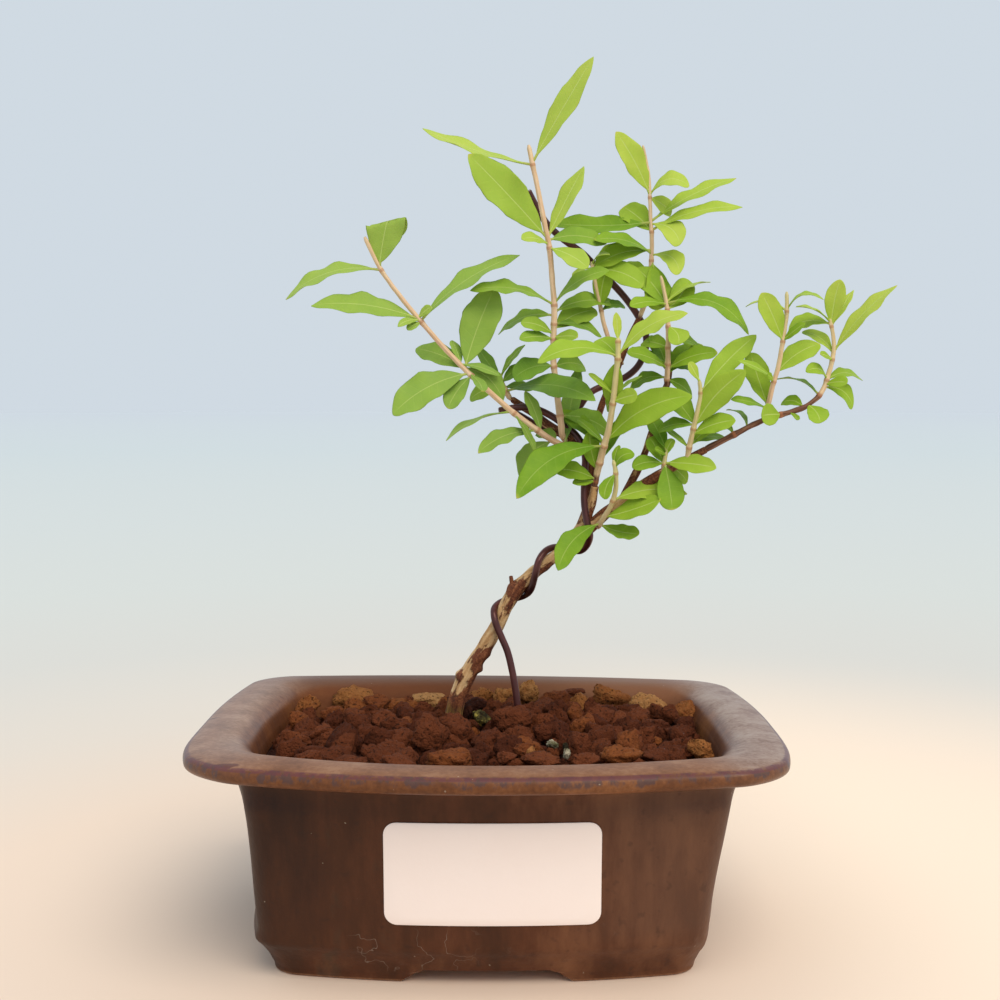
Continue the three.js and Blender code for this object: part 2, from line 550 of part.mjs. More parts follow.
// The soil: a bed that fills the pot, and coarse granules half sunk in its mounded top.
function makeSoil(standing) {
  const sides = [[20.5, floorHeight], ...[...coveLevels.slice(4), ...insideLevels].reverse()];
  const inside = levels(sides, -soilGap);
  const edge = levels([...coveLevels].reverse().slice(1, 4), -soilGap);
  const bed = skin([...inside, ...levels(soilMound)]);
  const guard = skin([...inside, ...edge, outline(13.2, 60)]);
  const draw = randomFrom(12);
  const lumps = [];
  const rowPitch = granule.pitch * Math.sqrt(3) / 2;
  for (let row = -5; row <= 5; row++) {
    for (let column = -7; column <= 7; column++) {
      const x = (column + (row % 2 ? 0.5 : 0)) * granule.pitch + draw() - 0.5;
      const y = row * rowPitch + draw() - 0.5;
      const spread = (Math.abs(x) / 54.5) ** 4 + (Math.abs(y) / 40) ** 4;
      const turnBy = [draw() * 360, draw() * 360, draw() * 360];
      const size = [0, 1, 2].map(() => granule.radius * (0.88 + 0.24 * draw()));
      if (spread > 1) continue;
      const z = soilMound[0][1] + soilRise * (1 - spread);
      const lump = solidOf(new THREE.OctahedronGeometry(1, 0));
      lumps.push(lump.scale([size[0], size[1], size[2] * 0.85]).rotate(turnBy).translate([x, y, z]));
    }
  }
  return largest(bed.add(union(lumps)).intersect(guard).subtract(union(standing)));
}

const colours = {
  glaze: { color: 0x4f3428, roughness: 0.45 },
  plastic: { color: 0x1d1f1e, roughness: 0.6 },
  paper: { color: 0xf1e4de, roughness: 0.6 },
  soil: { color: 0x6a3a26, roughness: 1 },
  bark: { color: 0x9a7747, roughness: 0.9 },
  wire: { color: 0x4a2c2e, roughness: 0.35, metalness: 0.6 },
  leaf: { color: 0x86a93a, roughness: 0.55 },
};
const materials = Object.fromEntries(Object.entries(colours).map(([name, look]) => [
  name, new THREE.MeshStandardMaterial(look),
]));

const bonsai = new THREE.Group();

function place(name, solid, material) {
  const mesh = solid.getMesh();
  const geometry = new THREE.BufferGeometry();
  geometry.setAttribute('position', new THREE.BufferAttribute(mesh.vertProperties, 3));
  geometry.setIndex(new THREE.BufferAttribute(mesh.triVerts, 1));
  geometry.computeVertexNormals();
  const piece = new THREE.Mesh(geometry, materials[material]);
  piece.name = name;
  bonsai.add(piece);
}

const nettingBlock = (x) => block(
  2 * netting.half + 0.2, 2 * netting.half + 0.2, netting.thick + 0.2,
  x, 0, floorHeight + netting.thick / 2,
);

place('pot', makePot(), 'glaze');
place('label', makeLabel(), 'paper');
place('netting_left', makeNetting(-drain.x), 'plastic');
place('netting_right', makeNetting(drain.x), 'plastic');
place('soil', makeSoil([
  makeWood(holeGap), wireTube(lowerWire, holeGap), nettingBlock(-drain.x), nettingBlock(drain.x),
]), 'soil');
place('trunk', makeWood(), 'bark');
place('lower_wire', wireTube(lowerWire), 'wire');
place('upper_wire', wireTube(upperWire), 'wire');

const clearOfWood = makeWood(holeGap);
for (const [name, shoot] of Object.entries(shoots)) {
  place(name, largest(makeShoot(shoot).subtract(clearOfWood)), 'leaf');
}

// The origin goes to the middle of the underside of the whole object.
const extent = new THREE.Box3().setFromObject(bonsai);
const middle = extent.getCenter(new THREE.Vector3());
bonsai.position.set(-middle.x, -middle.y, -extent.min.z);

export default bonsai;
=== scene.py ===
import bpy
import numpy as np
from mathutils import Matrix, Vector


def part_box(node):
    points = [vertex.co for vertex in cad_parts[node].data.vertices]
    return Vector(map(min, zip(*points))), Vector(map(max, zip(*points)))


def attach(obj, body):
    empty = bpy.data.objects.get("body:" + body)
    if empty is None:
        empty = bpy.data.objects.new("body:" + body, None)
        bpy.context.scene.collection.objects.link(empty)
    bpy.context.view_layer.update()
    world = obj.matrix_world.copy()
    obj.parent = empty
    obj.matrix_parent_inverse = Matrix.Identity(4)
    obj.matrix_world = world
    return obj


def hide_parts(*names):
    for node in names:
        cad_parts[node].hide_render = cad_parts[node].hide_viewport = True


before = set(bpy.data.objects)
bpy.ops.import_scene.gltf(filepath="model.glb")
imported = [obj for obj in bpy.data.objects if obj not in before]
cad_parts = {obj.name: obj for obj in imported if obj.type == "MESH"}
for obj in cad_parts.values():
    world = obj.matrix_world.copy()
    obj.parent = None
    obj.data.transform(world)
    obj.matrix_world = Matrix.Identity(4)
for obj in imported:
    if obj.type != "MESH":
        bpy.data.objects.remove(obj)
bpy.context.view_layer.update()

potLow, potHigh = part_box("pot")
potMiddle = (potLow[0] + potHigh[0]) / 2


def addObject(name, data):
    # A new object at the origin, unturned.
    made = bpy.data.objects.new(name, data)
    bpy.context.scene.collection.objects.link(made)
    return made


# The camera comes first. Lengths are metres, measured from the middle of the pot.
cameraSet = {"across": 0.003, "back": 0.371, "height": 0.1385, "tiltDown": 4.15, "lens": 52.2}
cameraData = bpy.data.cameras.new("camera")
cameraData.sensor_fit = "HORIZONTAL"
cameraData.sensor_width = 36
cameraData.lens = cameraSet["lens"]
camera = addObject("camera", cameraData)
camera.location = (potMiddle + cameraSet["across"], -cameraSet["back"], cameraSet["height"])
camera.rotation_euler = (np.radians(90 - cameraSet["tiltDown"]), 0, 0)
bpy.context.scene.camera = camera
bpy.context.scene.view_settings.view_transform = "Standard"
print("camera ready")


def gridFaces(rows, columns, copies):
    # Rows of closed rings are joined ring to ring by four-sided faces, and each end is closed by
    # one flat face. Copies lie one after another in the list of points.
    row = np.arange(rows - 1)[:, None]
    column = np.arange(columns)[None, :]
    corner = row * columns + column
    beside = row * columns + (column + 1) % columns
    quads = np.stack([corner, beside, beside + columns, corner + columns], -1).reshape(-1, 4)
    ends = np.stack([np.arange(columns)[::-1], (rows - 1) * columns + np.arange(columns)])
    shift = (np.arange(copies) * rows * columns)[:, None, None]
    return [(quads + shift).reshape(-1, 4), (ends + shift).reshape(-1, columns)]


def makeMesh(name, grid, polygons=None):
    # The grid is (rows, columns, 3) in metres, or (copies, rows, columns, 3). Polygons are arrays
    # with one row of corners for each face, and are closed rings where none are given.
    rows, columns = grid.shape[-3:-1]
    points = np.ascontiguousarray(grid, dtype=np.float32).reshape(-1, 3)
    polygons = polygons or gridFaces(rows, columns, len(points) // (rows * columns))
    corners = np.concatenate([part.ravel() for part in polygons]).astype(np.int32)
    sizes = np.concatenate([np.full(len(part), part.shape[1]) for part in polygons])
    starts = np.concatenate([[0], np.cumsum(sizes)[:-1]]).astype(np.int32)
    mesh = bpy.data.meshes.new(name)
    mesh.vertices.add(len(points))
    mesh.vertices.foreach_set("co", points.ravel())
    mesh.loops.add(len(corners))
    mesh.loops.foreach_set("vertex_index", corners)
    mesh.polygons.add(len(sizes))
    mesh.polygons.foreach_set("loop_start", starts)
    mesh.update(calc_edges=True)
    mesh.validate()
    return mesh


def smoothFaces(mesh, sharpAngle):
    # Edges that bend more than the angle stay sharp.
    mesh.shade_smooth()
    mesh.set_sharp_from_angle(angle=np.radians(sharpAngle))


def addPiece(name, grid, look, nodes, marks=None):
    # Marks are numbers, or vectors of three, kept at each point for the material to read. They
    # are spread evenly over the sides of the grid that they don't name.
    mesh = makeMesh(name, grid)
    for mark, values in (marks or {}).items():
        values = np.asarray(values, float)
        kind, part, shape = "FLOAT", "value", grid.shape[:-1]
        if values.shape[-1:] == (3,):
            kind, part, shape = "FLOAT_VECTOR", "vector", grid.shape
        layer = mesh.attributes.new(mark, kind, "POINT")
        layer.data.foreach_set(part, np.broadcast_to(values, shape).astype(np.float32).ravel())
    mesh.shade_smooth()
    mesh.materials.append(look)
    piece = addObject(name, mesh)
    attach(piece, "root")
    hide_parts(*nodes)
    return piece


def waves(points, size, seed, count=26):
    # The sum of sine waves that run in seeded directions, each about one size long, roughly -1 to 1.
    draw = np.random.default_rng(seed)
    way = draw.normal(size=(count, 3))
    way *= draw.uniform(0.5, 1.7, (count, 1)) / np.linalg.norm(way, axis=1, keepdims=True)
    phase = draw.uniform(0, 2 * np.pi, count)
    flat = points.reshape(-1, 3) @ (way.T * 2 * np.pi / size) + phase
    return (np.sin(flat).sum(-1) / np.sqrt(count)).reshape(points.shape[:-1])


def smoothStep(low, high, values):
    # 0 below low, 1 above high, and 3u^2 - 2u^3 between them.
    u = np.clip((values - low) / (high - low), 0, 1)
    return u * u * (3 - 2 * u)


def unit(vectors):
    # Each vector divided by its length.
    return vectors / np.linalg.norm(vectors, axis=-1, keepdims=True)


def fullTurn(count):
    # Equal steps round a circle.
    return np.arange(count) * 2 * np.pi / count


def roundedCurve(points, t):
    # A curve through every point, each stretch a cubic whose end slopes come from the neighbours,
    # weighted by the square root of the distances. t runs 0 to 1, equal for each stretch.
    points = np.asarray(points, float)
    padded = np.vstack([2 * points[0] - points[1], points, 2 * points[-1] - points[-2]])
    s = np.asarray(t) * (len(points) - 1)
    i = np.clip(s.astype(int), 0, len(points) - 2)
    u = (s - i)[:, None]
    p0, p1, p2, p3 = (padded[i + k] for k in range(4))
    d0, d1, d2 = (np.linalg.norm(b - a, axis=1, keepdims=True) ** 0.5
                  for a, b in ((p0, p1), (p1, p2), (p2, p3)))
    m1 = ((p1 - p0) / d0 - (p2 - p0) / (d0 + d1) + (p2 - p1) / d1) * d1
    m2 = ((p2 - p1) / d1 - (p3 - p1) / (d1 + d2) + (p3 - p2) / d2) * d1
    return (p1 + m1 * u + (3 * (p2 - p1) - 2 * m1 - m2) * u ** 2
            + (2 * (p1 - p2) + m1 + m2) * u ** 3)


# Places on the plant are millimetres as they line up from the front: across, height above the
# pot's crease, and depth behind the upright plane through the middle of the pot.
lineUp = {"across": 3, "height": 131.5, "distance": 371, "crease": 7}


def sight(across, height, depth):
    # Slides each place along its line of sight from the plane to its depth, then to metres.
    k = (lineUp["distance"] + depth) / lineUp["distance"]
    x = lineUp["across"] + (across - lineUp["across"]) * k
    z = lineUp["height"] + (height - lineUp["height"]) * k + lineUp["crease"]
    return np.stack([x + potMiddle * 1000, depth + 0 * x, z], -1) / 1000


def tubeRings(centres, radii):
    # Circles round the stations, square to the path, whose first side direction is carried along
    # without twist. Radii has one number for each station and side, in metres.
    ahead = unit(np.gradient(centres, axis=0))
    sides = np.empty_like(ahead)
    side = np.array([1.0, 0, 0])
    for i, way in enumerate(ahead):
        side = side - way * (side @ way)
        side /= np.linalg.norm(side)
        sides[i] = side
    angle = fullTurn(radii.shape[1])[None, :, None]
    spoke = np.cos(angle) * sides[:, None] + np.sin(angle) * np.cross(ahead, sides)[:, None]
    return centres[:, None] + radii[:, :, None] * spoke


def followRoute(places, steps):
    # Stations along a table of [across, height, depth, radius]: the rounded curve through the
    # places, radii in straight stretches between them, places in metres, and the length so far.
    places = np.asarray(places, float)
    t = np.linspace(0, 1, steps)
    path = roundedCurve(places[:, [0, 2, 1]], t)
    radii = np.interp(t * (len(places) - 1), np.arange(len(places)), places[:, 3])
    centres = sight(path[:, 0], path[:, 2], path[:, 1])
    apart = np.linalg.norm(np.diff(centres, axis=0), axis=1)
    return path, radii, centres, np.concatenate([[0], np.cumsum(apart)])


def tubeGrain(radii, lengths, sides):
    # Where each point would lie if the tube were straight and upright, for a pattern that follows
    # it: radius * (cosine, sine), and the length so far.
    angle = fullTurn(sides)
    radii = radii[:, None] / 1000
    return np.stack([radii * np.cos(angle), radii * np.sin(angle), lengths[:, None] + 0 * angle], -1)


class Shade:
    # Wraps a socket. Sums on it add Math nodes, and node() adds any other kind of node.
    def __init__(self, tree, socket=None):
        self.tree = tree
        self.socket = socket

    def node(self, kind, settings=None, inputs=None, output=0):
        made = self.tree.nodes.new(kind)
        for name, value in (settings or {}).items():
            if name == "stops":
                ramp = made.color_ramp.elements
                for element, (place, colour) in zip((ramp[0], ramp[1]), (value[0], value[-1])):
                    element.position, element.color = place, (*colour, 1)
                for place, colour in value[1:-1]:
                    ramp.new(place).color = (*colour, 1)
            else:
                setattr(made, name, value)
        for key, value in (inputs or {}).items():
            if isinstance(value, Shade):
                self.tree.links.new(value.socket, made.inputs[key])
            else:
                made.inputs[key].default_value = value
        return Shade(self.tree, made.outputs[output])

    def math(self, operation, a, b=0.0):
        return self.node("ShaderNodeMath", {"operation": operation}, {0: a, 1: b})

    def __add__(self, other):
        return self.math("ADD", self, other)

    __radd__ = __add__

    def __sub__(self, other):
        return self.math("SUBTRACT", self, other)

    def __rsub__(self, other):
        return self.math("SUBTRACT", other, self)

    def __mul__(self, other):
        return self.math("MULTIPLY", self, other)

    __rmul__ = __mul__

    def __pow__(self, other):
        return self.math("POWER", self, other)

    def __abs__(self):
        return self.math("ABSOLUTE", self)

    def objectPlace(self):
        return self.node("ShaderNodeTexCoord", output="Object")

    def mark(self, name, output="Fac"):
        return self.node("ShaderNodeAttribute", {"attribute_name": name}, output=output)

    def vector(self, operation, inputs, output=0):
        return self.node("ShaderNodeVectorMath", {"operation": operation},
                         dict(enumerate(inputs)), output)

    def stretch(self, place, factors):
        return self.vector("MULTIPLY", (place, factors))

    def part(self, vector, number):
        return self.node("ShaderNodeSeparateXYZ", inputs={0: vector}, output=number)

    def noise(self, place, scale, detail=3.0, rough=0.55):
        return self.node("ShaderNodeTexNoise", inputs={
            "Vector": place, "Scale": scale, "Detail": detail, "Roughness": rough})

    def between(self, value, low, high):
        # 0 at low and 1 at high, eased at both.
        return self.node("ShaderNodeMapRange", {"interpolation_type": "SMOOTHSTEP"}, {
            "Value": value, "From Min": low, "From Max": high})

    def ramp(self, value, stops):
        return self.node("ShaderNodeValToRGB", {"stops": stops}, {0: value})

    def mix(self, a, b, factor):
        a, b = (c if isinstance(c, Shade) else (*c, 1) for c in (a, b))
        return self.node("ShaderNodeMix", {"data_type": "RGBA"}, {0: factor, 6: a, 7: b}, output=2)

    def coats(self, colour, *coats):
        # Each coat is [its colour, how much of it lies over the ones before].
        for coat, cover in coats:
            colour = self.mix(colour, coat, cover)
        return colour

    def bump(self, height, distance, strength=1.0):
        return self.node("ShaderNodeBump", inputs={
            "Height": height, "Distance": distance, "Strength": strength})

    def finish(self, inputs):
        shader = self.node("ShaderNodeBsdfPrincipled", inputs=inputs)
        out = self.tree.nodes.new("ShaderNodeOutputMaterial")
        self.tree.links.new(shader.socket, out.inputs[0])


def newMaterial(name):
    material = bpy.data.materials.new(name)
    material.use_nodes = True
    material.node_tree.nodes.clear()
    return material, Shade(material.node_tree)


# The outline seen from above is a rectangle with round corners whose sides bow outwards. Lengths
# are millimetres. The profile goes from under the floor, over the foot, up the outside, over the
# lip and down inside: [drawn in from the rim, height].
pot = {
    "halfX": 72.79, "halfY": 59.49, "corner": 10, "leastCorner": 4, "bowX": 4.8, "bowY": 5.8,
    "sideShare": 0.915, "profileSteps": 150, "sharpAngle": 40,
    "underside": [[29.4, 3.5], [29.05, 3.3], [29, 0.5], [28.6, 0], [22.1, 0]],
    "outside": [
        [22.1, 0], [21.2, 0.3], [20.9, 1.6], [20.3, 3], [19.5, 4.8], [17.8, 7.5], [16.4, 9.4],
        [15.75, 11.5], [15, 19.1], [14.1, 31.1], [13, 41.1], [12, 45.5], [10.6, 48.1], [8.2, 49.5],
        [5, 50.1], [2.4, 50.4], [0.9, 51], [0.15, 51.9], [0, 52.9], [0.3, 53.9], [1.1, 54.6],
        [2.6, 55], [6, 55.3], [10, 55.1], [12.8, 54.1], [15.2, 52], [16.8, 48.6], [17.8, 43.1],
        [19, 26], [20.4, 13],
    ],
    "floor": [[20.4, 13], [20.6, 10.8], [21.4, 10], [23, 10]],
    "archHeight": 3.5, "frontArch": [15.5, 20.5], "sideArch": [10, 14],
    "drainRadius": 6, "drainAcross": 26, "drainSides": 40,
}
# How the pot differs from an even one, because it was made by hand: millimetres, and the heights
# between which each comes in. Its rim's front corners are drawn further back and its ends are
# fuller there, its left end is higher and the right half of its back lower, the right wall tapers
# more, and the left foot less. Weaker is the share of an effect that the other side gets.
handMade = {
    "frontBow": 3.2, "fuller": 3, "cornerIn": 1.4, "cornerFrom": 0.55, "leftRise": 0.8,
    "backLean": 0.55, "leanMiddle": -0.15, "rimHeights": [41, 49], "rightTaper": 2,
    "taperHeights": [42, 15], "taperFoot": [6, 11], "leftFoot": 1.6, "footHeights": [13, 8.5],
    "weaker": 0.6,
}


def flatHalves(inset):
    # Half the length of the straight sides before they swell, across and along.
    return (pot["halfX"] - inset * pot["sideShare"] - pot["bowX"],
            pot["halfY"] - inset - pot["bowY"])


def roundCorners(corner, front, side):
    # Steps round a rectangle with round corners, as [sign across, sign along, cosine, sine]: the
    # point is sign * (half - radius) + radius * (cosine, sine). All four are blended evenly along
    # the straight sides.
    signs = np.array([[1, 1], [-1, 1], [-1, -1], [1, -1]], float)
    quarter = (np.arange(4)[:, None] + np.linspace(0, 1, corner + 1)) * np.pi / 2
    arcs = np.concatenate([np.repeat(signs[:, None], corner + 1, 1),
                           np.stack([np.cos(quarter), np.sin(quarter)], -1)], -1)
    outline = []
    for k in range(4):
        share = np.linspace(0, 1, (side if k % 2 else front) + 1)[1:-1, None]
        outline += [arcs[k], arcs[k, -1] * (1 - share) + arcs[(k + 1) % 4, 0] * share]
    return np.concatenate(outline)


def potRings(profile):
    # One ring for each [inset, height] of the profile. Each side swells out by
    # 1 + bow / half * (1 - (place along it / half)^2), with a higher power where the rim is fuller.
    outline = roundCorners(14, 44, 30)
    insets, heights = np.array(profile, float).T[:, :, None]
    flatX, flatY = flatHalves(insets)
    radius = np.maximum(pot["corner"] - insets / 2, pot["leastCorner"])
    x = outline[:, 0] * (flatX - radius) + radius * outline[:, 2]
    y = outline[:, 1] * (flatY - radius) + radius * outline[:, 3]
    z = heights + 0 * x
    inRim = smoothStep(*handMade["rimHeights"], z)
    taper = smoothStep(*handMade["taperHeights"], z) * smoothStep(*handMade["taperFoot"], z)
    weaker = handMade["weaker"]
    left, right = np.clip(-x / flatX, 0, 1) ** 2, np.clip(x / flatX, 0, 1) ** 2
    forward, backward = np.clip(-y / flatY, 0, 1), np.clip(y / flatY, 0, 1)
    corners = smoothStep(handMade["cornerFrom"], 1, forward)
    power = 2 + handMade["fuller"] * inRim * (left + weaker * right) * np.clip(forward * 4, 0, 1)
    bowedX = x * (1 + pot["bowX"] / flatX * (1 - np.abs(y / flatY) ** power))
    bowedX -= handMade["cornerIn"] * inRim * (weaker * right - left) * corners
    bowedX -= handMade["rightTaper"] * right * taper
    bowedX -= handMade["leftFoot"] * left * smoothStep(*handMade["footHeights"], z)
    bowedY = y * (1 + pot["bowY"] / flatY * (1 - (x / flatX) ** 2))
    bowedY += handMade["frontBow"] * inRim * forward * (x / flatX) ** 2
    z += handMade["leftRise"] * inRim * left * (1 - weaker * backward)
    z -= handMade["backLean"] * inRim * backward * (x / flatX - handMade["leanMiddle"])
    return np.stack([bowedX + potMiddle * 1000, bowedY, z], -1) / 1000


def makeGlaze():
    # Brown glaze. The walls have soft upright clouds, greener on the left, more orange on the
    # right and low down, with a greyer painted sheen low on the right. The rim is tan and glossier
    # at its two ends, where a paler painted sheen lies on it, and a painted highlight runs along its
    # back edge. A thin purple line with blue-grey blotches under it runs along the edge of the lip,
    # and the inside is amber. Low on the front are dust and a few fibres. The underside is bare
    # clay, whose pale colour also stands in for light thrown up from the floor under the foot.
    material, s = newMaterial("brownGlaze")
    place = s.objectPlace()
    fromMiddle = s.vector("SUBTRACT", (place, (potMiddle, 0, 0)))
    across, depth, height = (s.part(fromMiddle, k) for k in range(3))
    normal = s.node("ShaderNodeNewGeometry", output="Normal")
    facingUp = s.part(normal, 2)
    outward = s.vector("DOT_PRODUCT", (normal, s.stretch(fromMiddle, (1, 1, 0))), "Value")
    clouds = s.noise(s.stretch(place, (1, 1, 0.35)), 48, 6, 0.62)
    streaks = s.noise(s.stretch(place, (1, 1, 0.1)), 260, 4, 0.6)
    grain = s.noise(place, 900, 3, 0.6)
    speckle = s.noise(place, 340, 2, 0.5)
    drips = s.noise(s.stretch(place, (1, 1, 0.5)), 230, 4, 0.6)
    mottle = s.noise(place, 90, 6, 0.65) * 0.7 + grain * 0.3
    ends = s.between(abs(across), 0.046, 0.064)
    side = s.between(across, -0.01, 0.04)
    back = s.between(depth, 0.03, 0.045)
    inward = s.between(outward, 0.003, -0.006)

    warmth = (clouds * 0.72 + streaks * 0.2 + 0.04 + across * 1.2
              + s.between(height, 0.018, 0.005) * 0.05)
    wall = s.ramp(warmth, [
        (0.32, (0.036, 0.013, 0.0065)), (0.44, (0.06, 0.0205, 0.0085)),
        (0.51, (0.085, 0.028, 0.0115)), (0.58, (0.125, 0.047, 0.021)),
        (0.68, (0.175, 0.071, 0.032)), (0.8, (0.24, 0.107, 0.05))])
    green = s.between(drips * 0.3 + clouds * 0.7, 0.5, 0.6) * s.between(across, 0.005, -0.045)
    # Painted sheen: a paler, greyer coat low on the right of the wall.
    paintedLowSheen = s.between(across, 0.01, 0.045) * s.between(height, 0.006, 0.016)
    wall = s.coats(wall, ((0.036, 0.027, 0.017), green * 0.6), ((0.13, 0.072, 0.048), paintedLowSheen * 0.35),
                   ((0.028, 0.014, 0.01), s.between(speckle, 0.6, 0.74) * 0.3))

    lip = s.ramp(clouds * 0.4 + grain * 0.3 + drips * 0.3, [
        (0.38, (0.095, 0.034, 0.014)), (0.5, (0.155, 0.056, 0.02)), (0.64, (0.25, 0.1, 0.038))])

    tan = s.ramp(mottle, [
        (0.36, (0.155, 0.062, 0.027)), (0.5, (0.23, 0.101, 0.047)), (0.62, (0.3, 0.152, 0.08))])
    # Painted sheen on the rim's two ends: a paler, greyer coat, strongest towards the inner edge, for
    # the light the glaze reflects there.
    paintedEndSheen = s.ramp(mottle, [
        (0.36, (0.172, 0.08, 0.04)), (0.5, (0.255, 0.134, 0.075)), (0.62, (0.335, 0.2, 0.128))])
    backBrown = s.mix((0.14, 0.058, 0.028), (0.215, 0.103, 0.056), side)
    # Painted sheen: pale grey patches on the rim's right end.
    paintedRightSheen = s.between(across, 0.05, 0.062) * s.between(mottle, 0.34, 0.64)
    dashes = s.between(s.noise(s.stretch(place, (0.4, 1, 1)), 330, 1, 0.4), 0.7, 0.75)
    top = s.coats(tan, (paintedEndSheen, ends * (inward * 0.6 + 0.4)), ((0.36, 0.3, 0.26), paintedRightSheen * 0.5),
                  (backBrown, back * s.between(abs(across), 0.066, 0.05) * 0.92),
                  # Painted highlight: a thin pale line along the back edge of the rim.
                  ((0.36, 0.31, 0.26), s.between(depth, 0.0562, 0.0582) * 0.8),
                  ((0.09, 0.02, 0.012), dashes * s.between(across, -0.046, -0.056) * 0.85))

    amber = s.ramp(clouds * 0.6 + mottle * 0.4, [
        (0.38, (0.064, 0.019, 0.005)), (0.5, (0.12, 0.037, 0.01)), (0.62, (0.19, 0.068, 0.018))])
    innerBack = s.mix((0.17, 0.055, 0.02), (0.27, 0.12, 0.062), side)
    inner = s.mix(amber, innerBack, back * 0.7)

    rim = s.between(height, 0.0492, 0.0503)
    inside = s.between(outward, -0.002, -0.02) * s.between(height + ends * 0.003, 0.0556, 0.0536)
    lipSide = s.between(outward, 0.002, 0.012)
    edge = s.between(facingUp, 0.985, 0.9) * rim * lipSide
    below = s.between(height + (drips - 0.5) * 0.006, 0.0522, 0.0534)
    spots = s.noise(s.stretch(place, (1, 1, 0.6)), 400, 4, 0.65) * 0.6 + drips * 0.4
    blotch = s.between(spots + s.between(abs(across), 0.06, 0.01) * 0.03, 0.48, 0.58) * below
    line = s.between(facingUp, 0.5, 0.66) * s.between(facingUp, 0.97, 0.9) * rim * lipSide
    purple = line * s.between(clouds * 0.5 + grain * 0.5, 0.38, 0.52)
    fibres = (s.between(abs(s.noise(place, 110, 3, 0.5) - 0.5), 0.006, 0.001)
              * s.between(abs(across + 0.017), 0.017, 0.01)
              * s.between(abs(height - 0.009), 0.007, 0.004))
    dust = s.between(s.noise(place, 120, 8, 0.75), 0.58, 0.74) * s.between(height, 0.024, 0.006)
    specks = s.between(s.noise(place, 760, 1, 0.4), 0.8, 0.82)
    # Bare clay under the foot. Its pale colour is partly painted light: it stands in for light thrown
    # up from the floor into the arches.
    bounceLitClay = s.ramp(grain, [(0.4, (0.3, 0.14, 0.07)), (0.6, (0.45, 0.24, 0.13))])
    bareBounceLit = s.math("MAXIMUM", s.between(facingUp, -0.55, -0.85) * s.between(height, 0.0055, 0.0045),
                  s.between(height, 0.0009, 0.0004) * 0.5)
    colour = s.coats(wall, (lip, rim), (top, s.between(facingUp, 0.72, 0.95) * rim),
                     (inner, inside), ((0.07, 0.041, 0.041), blotch * edge * 0.82),
                     ((0.115, 0.034, 0.04), purple * 0.8),
                     ((0.34, 0.28, 0.23), dust * 0.22 + fibres * 0.4),
                     ((0.5, 0.42, 0.32), specks * 0.4), (bounceLitClay, bareBounceLit))
    dips = s.noise(place, 300, 4, 0.5)
    s.finish({
        "Base Color": colour,
        "Roughness": 0.42 + clouds * 0.16 + dust * 0.25 + inside * 0.2,
        "Coat Weight": (rim * ends * 0.4 + 0.06) * (1 - inside),
        "Coat Roughness": 0.22,
        "Specular IOR Level": 0.18,
        "Normal": s.bump((dips * 0.6 + streaks * 0.3) * (1 - rim * 0.7) + grain * 0.2, 0.0006, 0.5),
    })
    return material


def drillHole(piece, across):
    # Cuts an upright round hole through the floor: middle + radius * (cosine, sine).
    angle = fullTurn(pot["drainSides"])
    radius = pot["drainRadius"] / 1000
    ring = np.stack([across + radius * np.cos(angle), radius * np.sin(angle), 0 * angle], -1)
    stack = ring + np.array([-0.01, 0.02])[:, None, None] * np.array([0, 0, 1])
    drill = addObject("drill", makeMesh("drill", stack))
    cut = piece.modifiers.new("drain", "BOOLEAN")
    cut.operation, cut.solver, cut.object = "DIFFERENCE", "EXACT", drill
    drilled = bpy.data.meshes.new_from_object(
        piece.evaluated_get(bpy.context.evaluated_depsgraph_get()))
    piece.modifiers.clear()
    piece.data = drilled
    bpy.data.objects.remove(drill)


def pressArches(mesh):
    # Low arches are pressed up into the foot, midway along each side: below the arch height, z
    # becomes the arch's own height there.
    points = np.empty(len(mesh.vertices) * 3, np.float32)
    mesh.vertices.foreach_get("co", points)
    points = points.reshape(-1, 3)
    x, y = np.abs(points[:, 0] - potMiddle) * 1000, np.abs(points[:, 1]) * 1000
    (high, low), (sideHigh, sideLow) = pot["frontArch"], pot["sideArch"]
    arch = np.maximum(np.clip((low - x) / (low - high), 0, 1),
                      np.clip((sideLow - y) / (sideLow - sideHigh), 0, 1))
    under = points[:, 2] < pot["archHeight"] / 1000
    lifted = np.maximum(points[:, 2], arch * pot["archHeight"] / 1000)
    points[:, 2] = np.where(under, lifted, points[:, 2])
    mesh.vertices.foreach_set("co", points.ravel())
    mesh.update()


def makePot():
    # The rounded curve through the outside's places, closed below the floor and above it.
    outside = roundedCurve(pot["outside"], np.linspace(0, 1, pot["profileSteps"]))
    profile = np.vstack([pot["underside"][:-1], outside, pot["floor"][1:]])
    piece = addPiece("glazedPot", potRings(profile), makeGlaze(), ["pot"])
    for side in (-1, 1):
        drillHole(piece, potMiddle + side * pot["drainAcross"] / 1000)
    pressArches(piece.data)
    smoothFaces(piece.data, pot["sharpAngle"])
    print("pot ready:", len(piece.data.polygons), "faces")


makePot()

# The sticker's rings are shrunk towards its middle and stand out from the wall by so many
# millimetres: out along its back, round its edge, and in again along its front.
label = {"width": 50, "height": 24.7, "corner": 3, "across": 1.3, "up": 28.6, "sharpAngle": 50,
         "shrink": [0.02, 0.3, 0.6, 0.85, 1, 1.004, 1.004, 1, 0.994, 0.85, 0.6, 0.3, 0.02],
         "out": [0.05, 0.05, 0.05, 0.05, 0.05, 0.12, 0.24, 0.3, 0.34, 0.34, 0.34, 0.34, 0.34],
         "wallPart": [7, 13]}


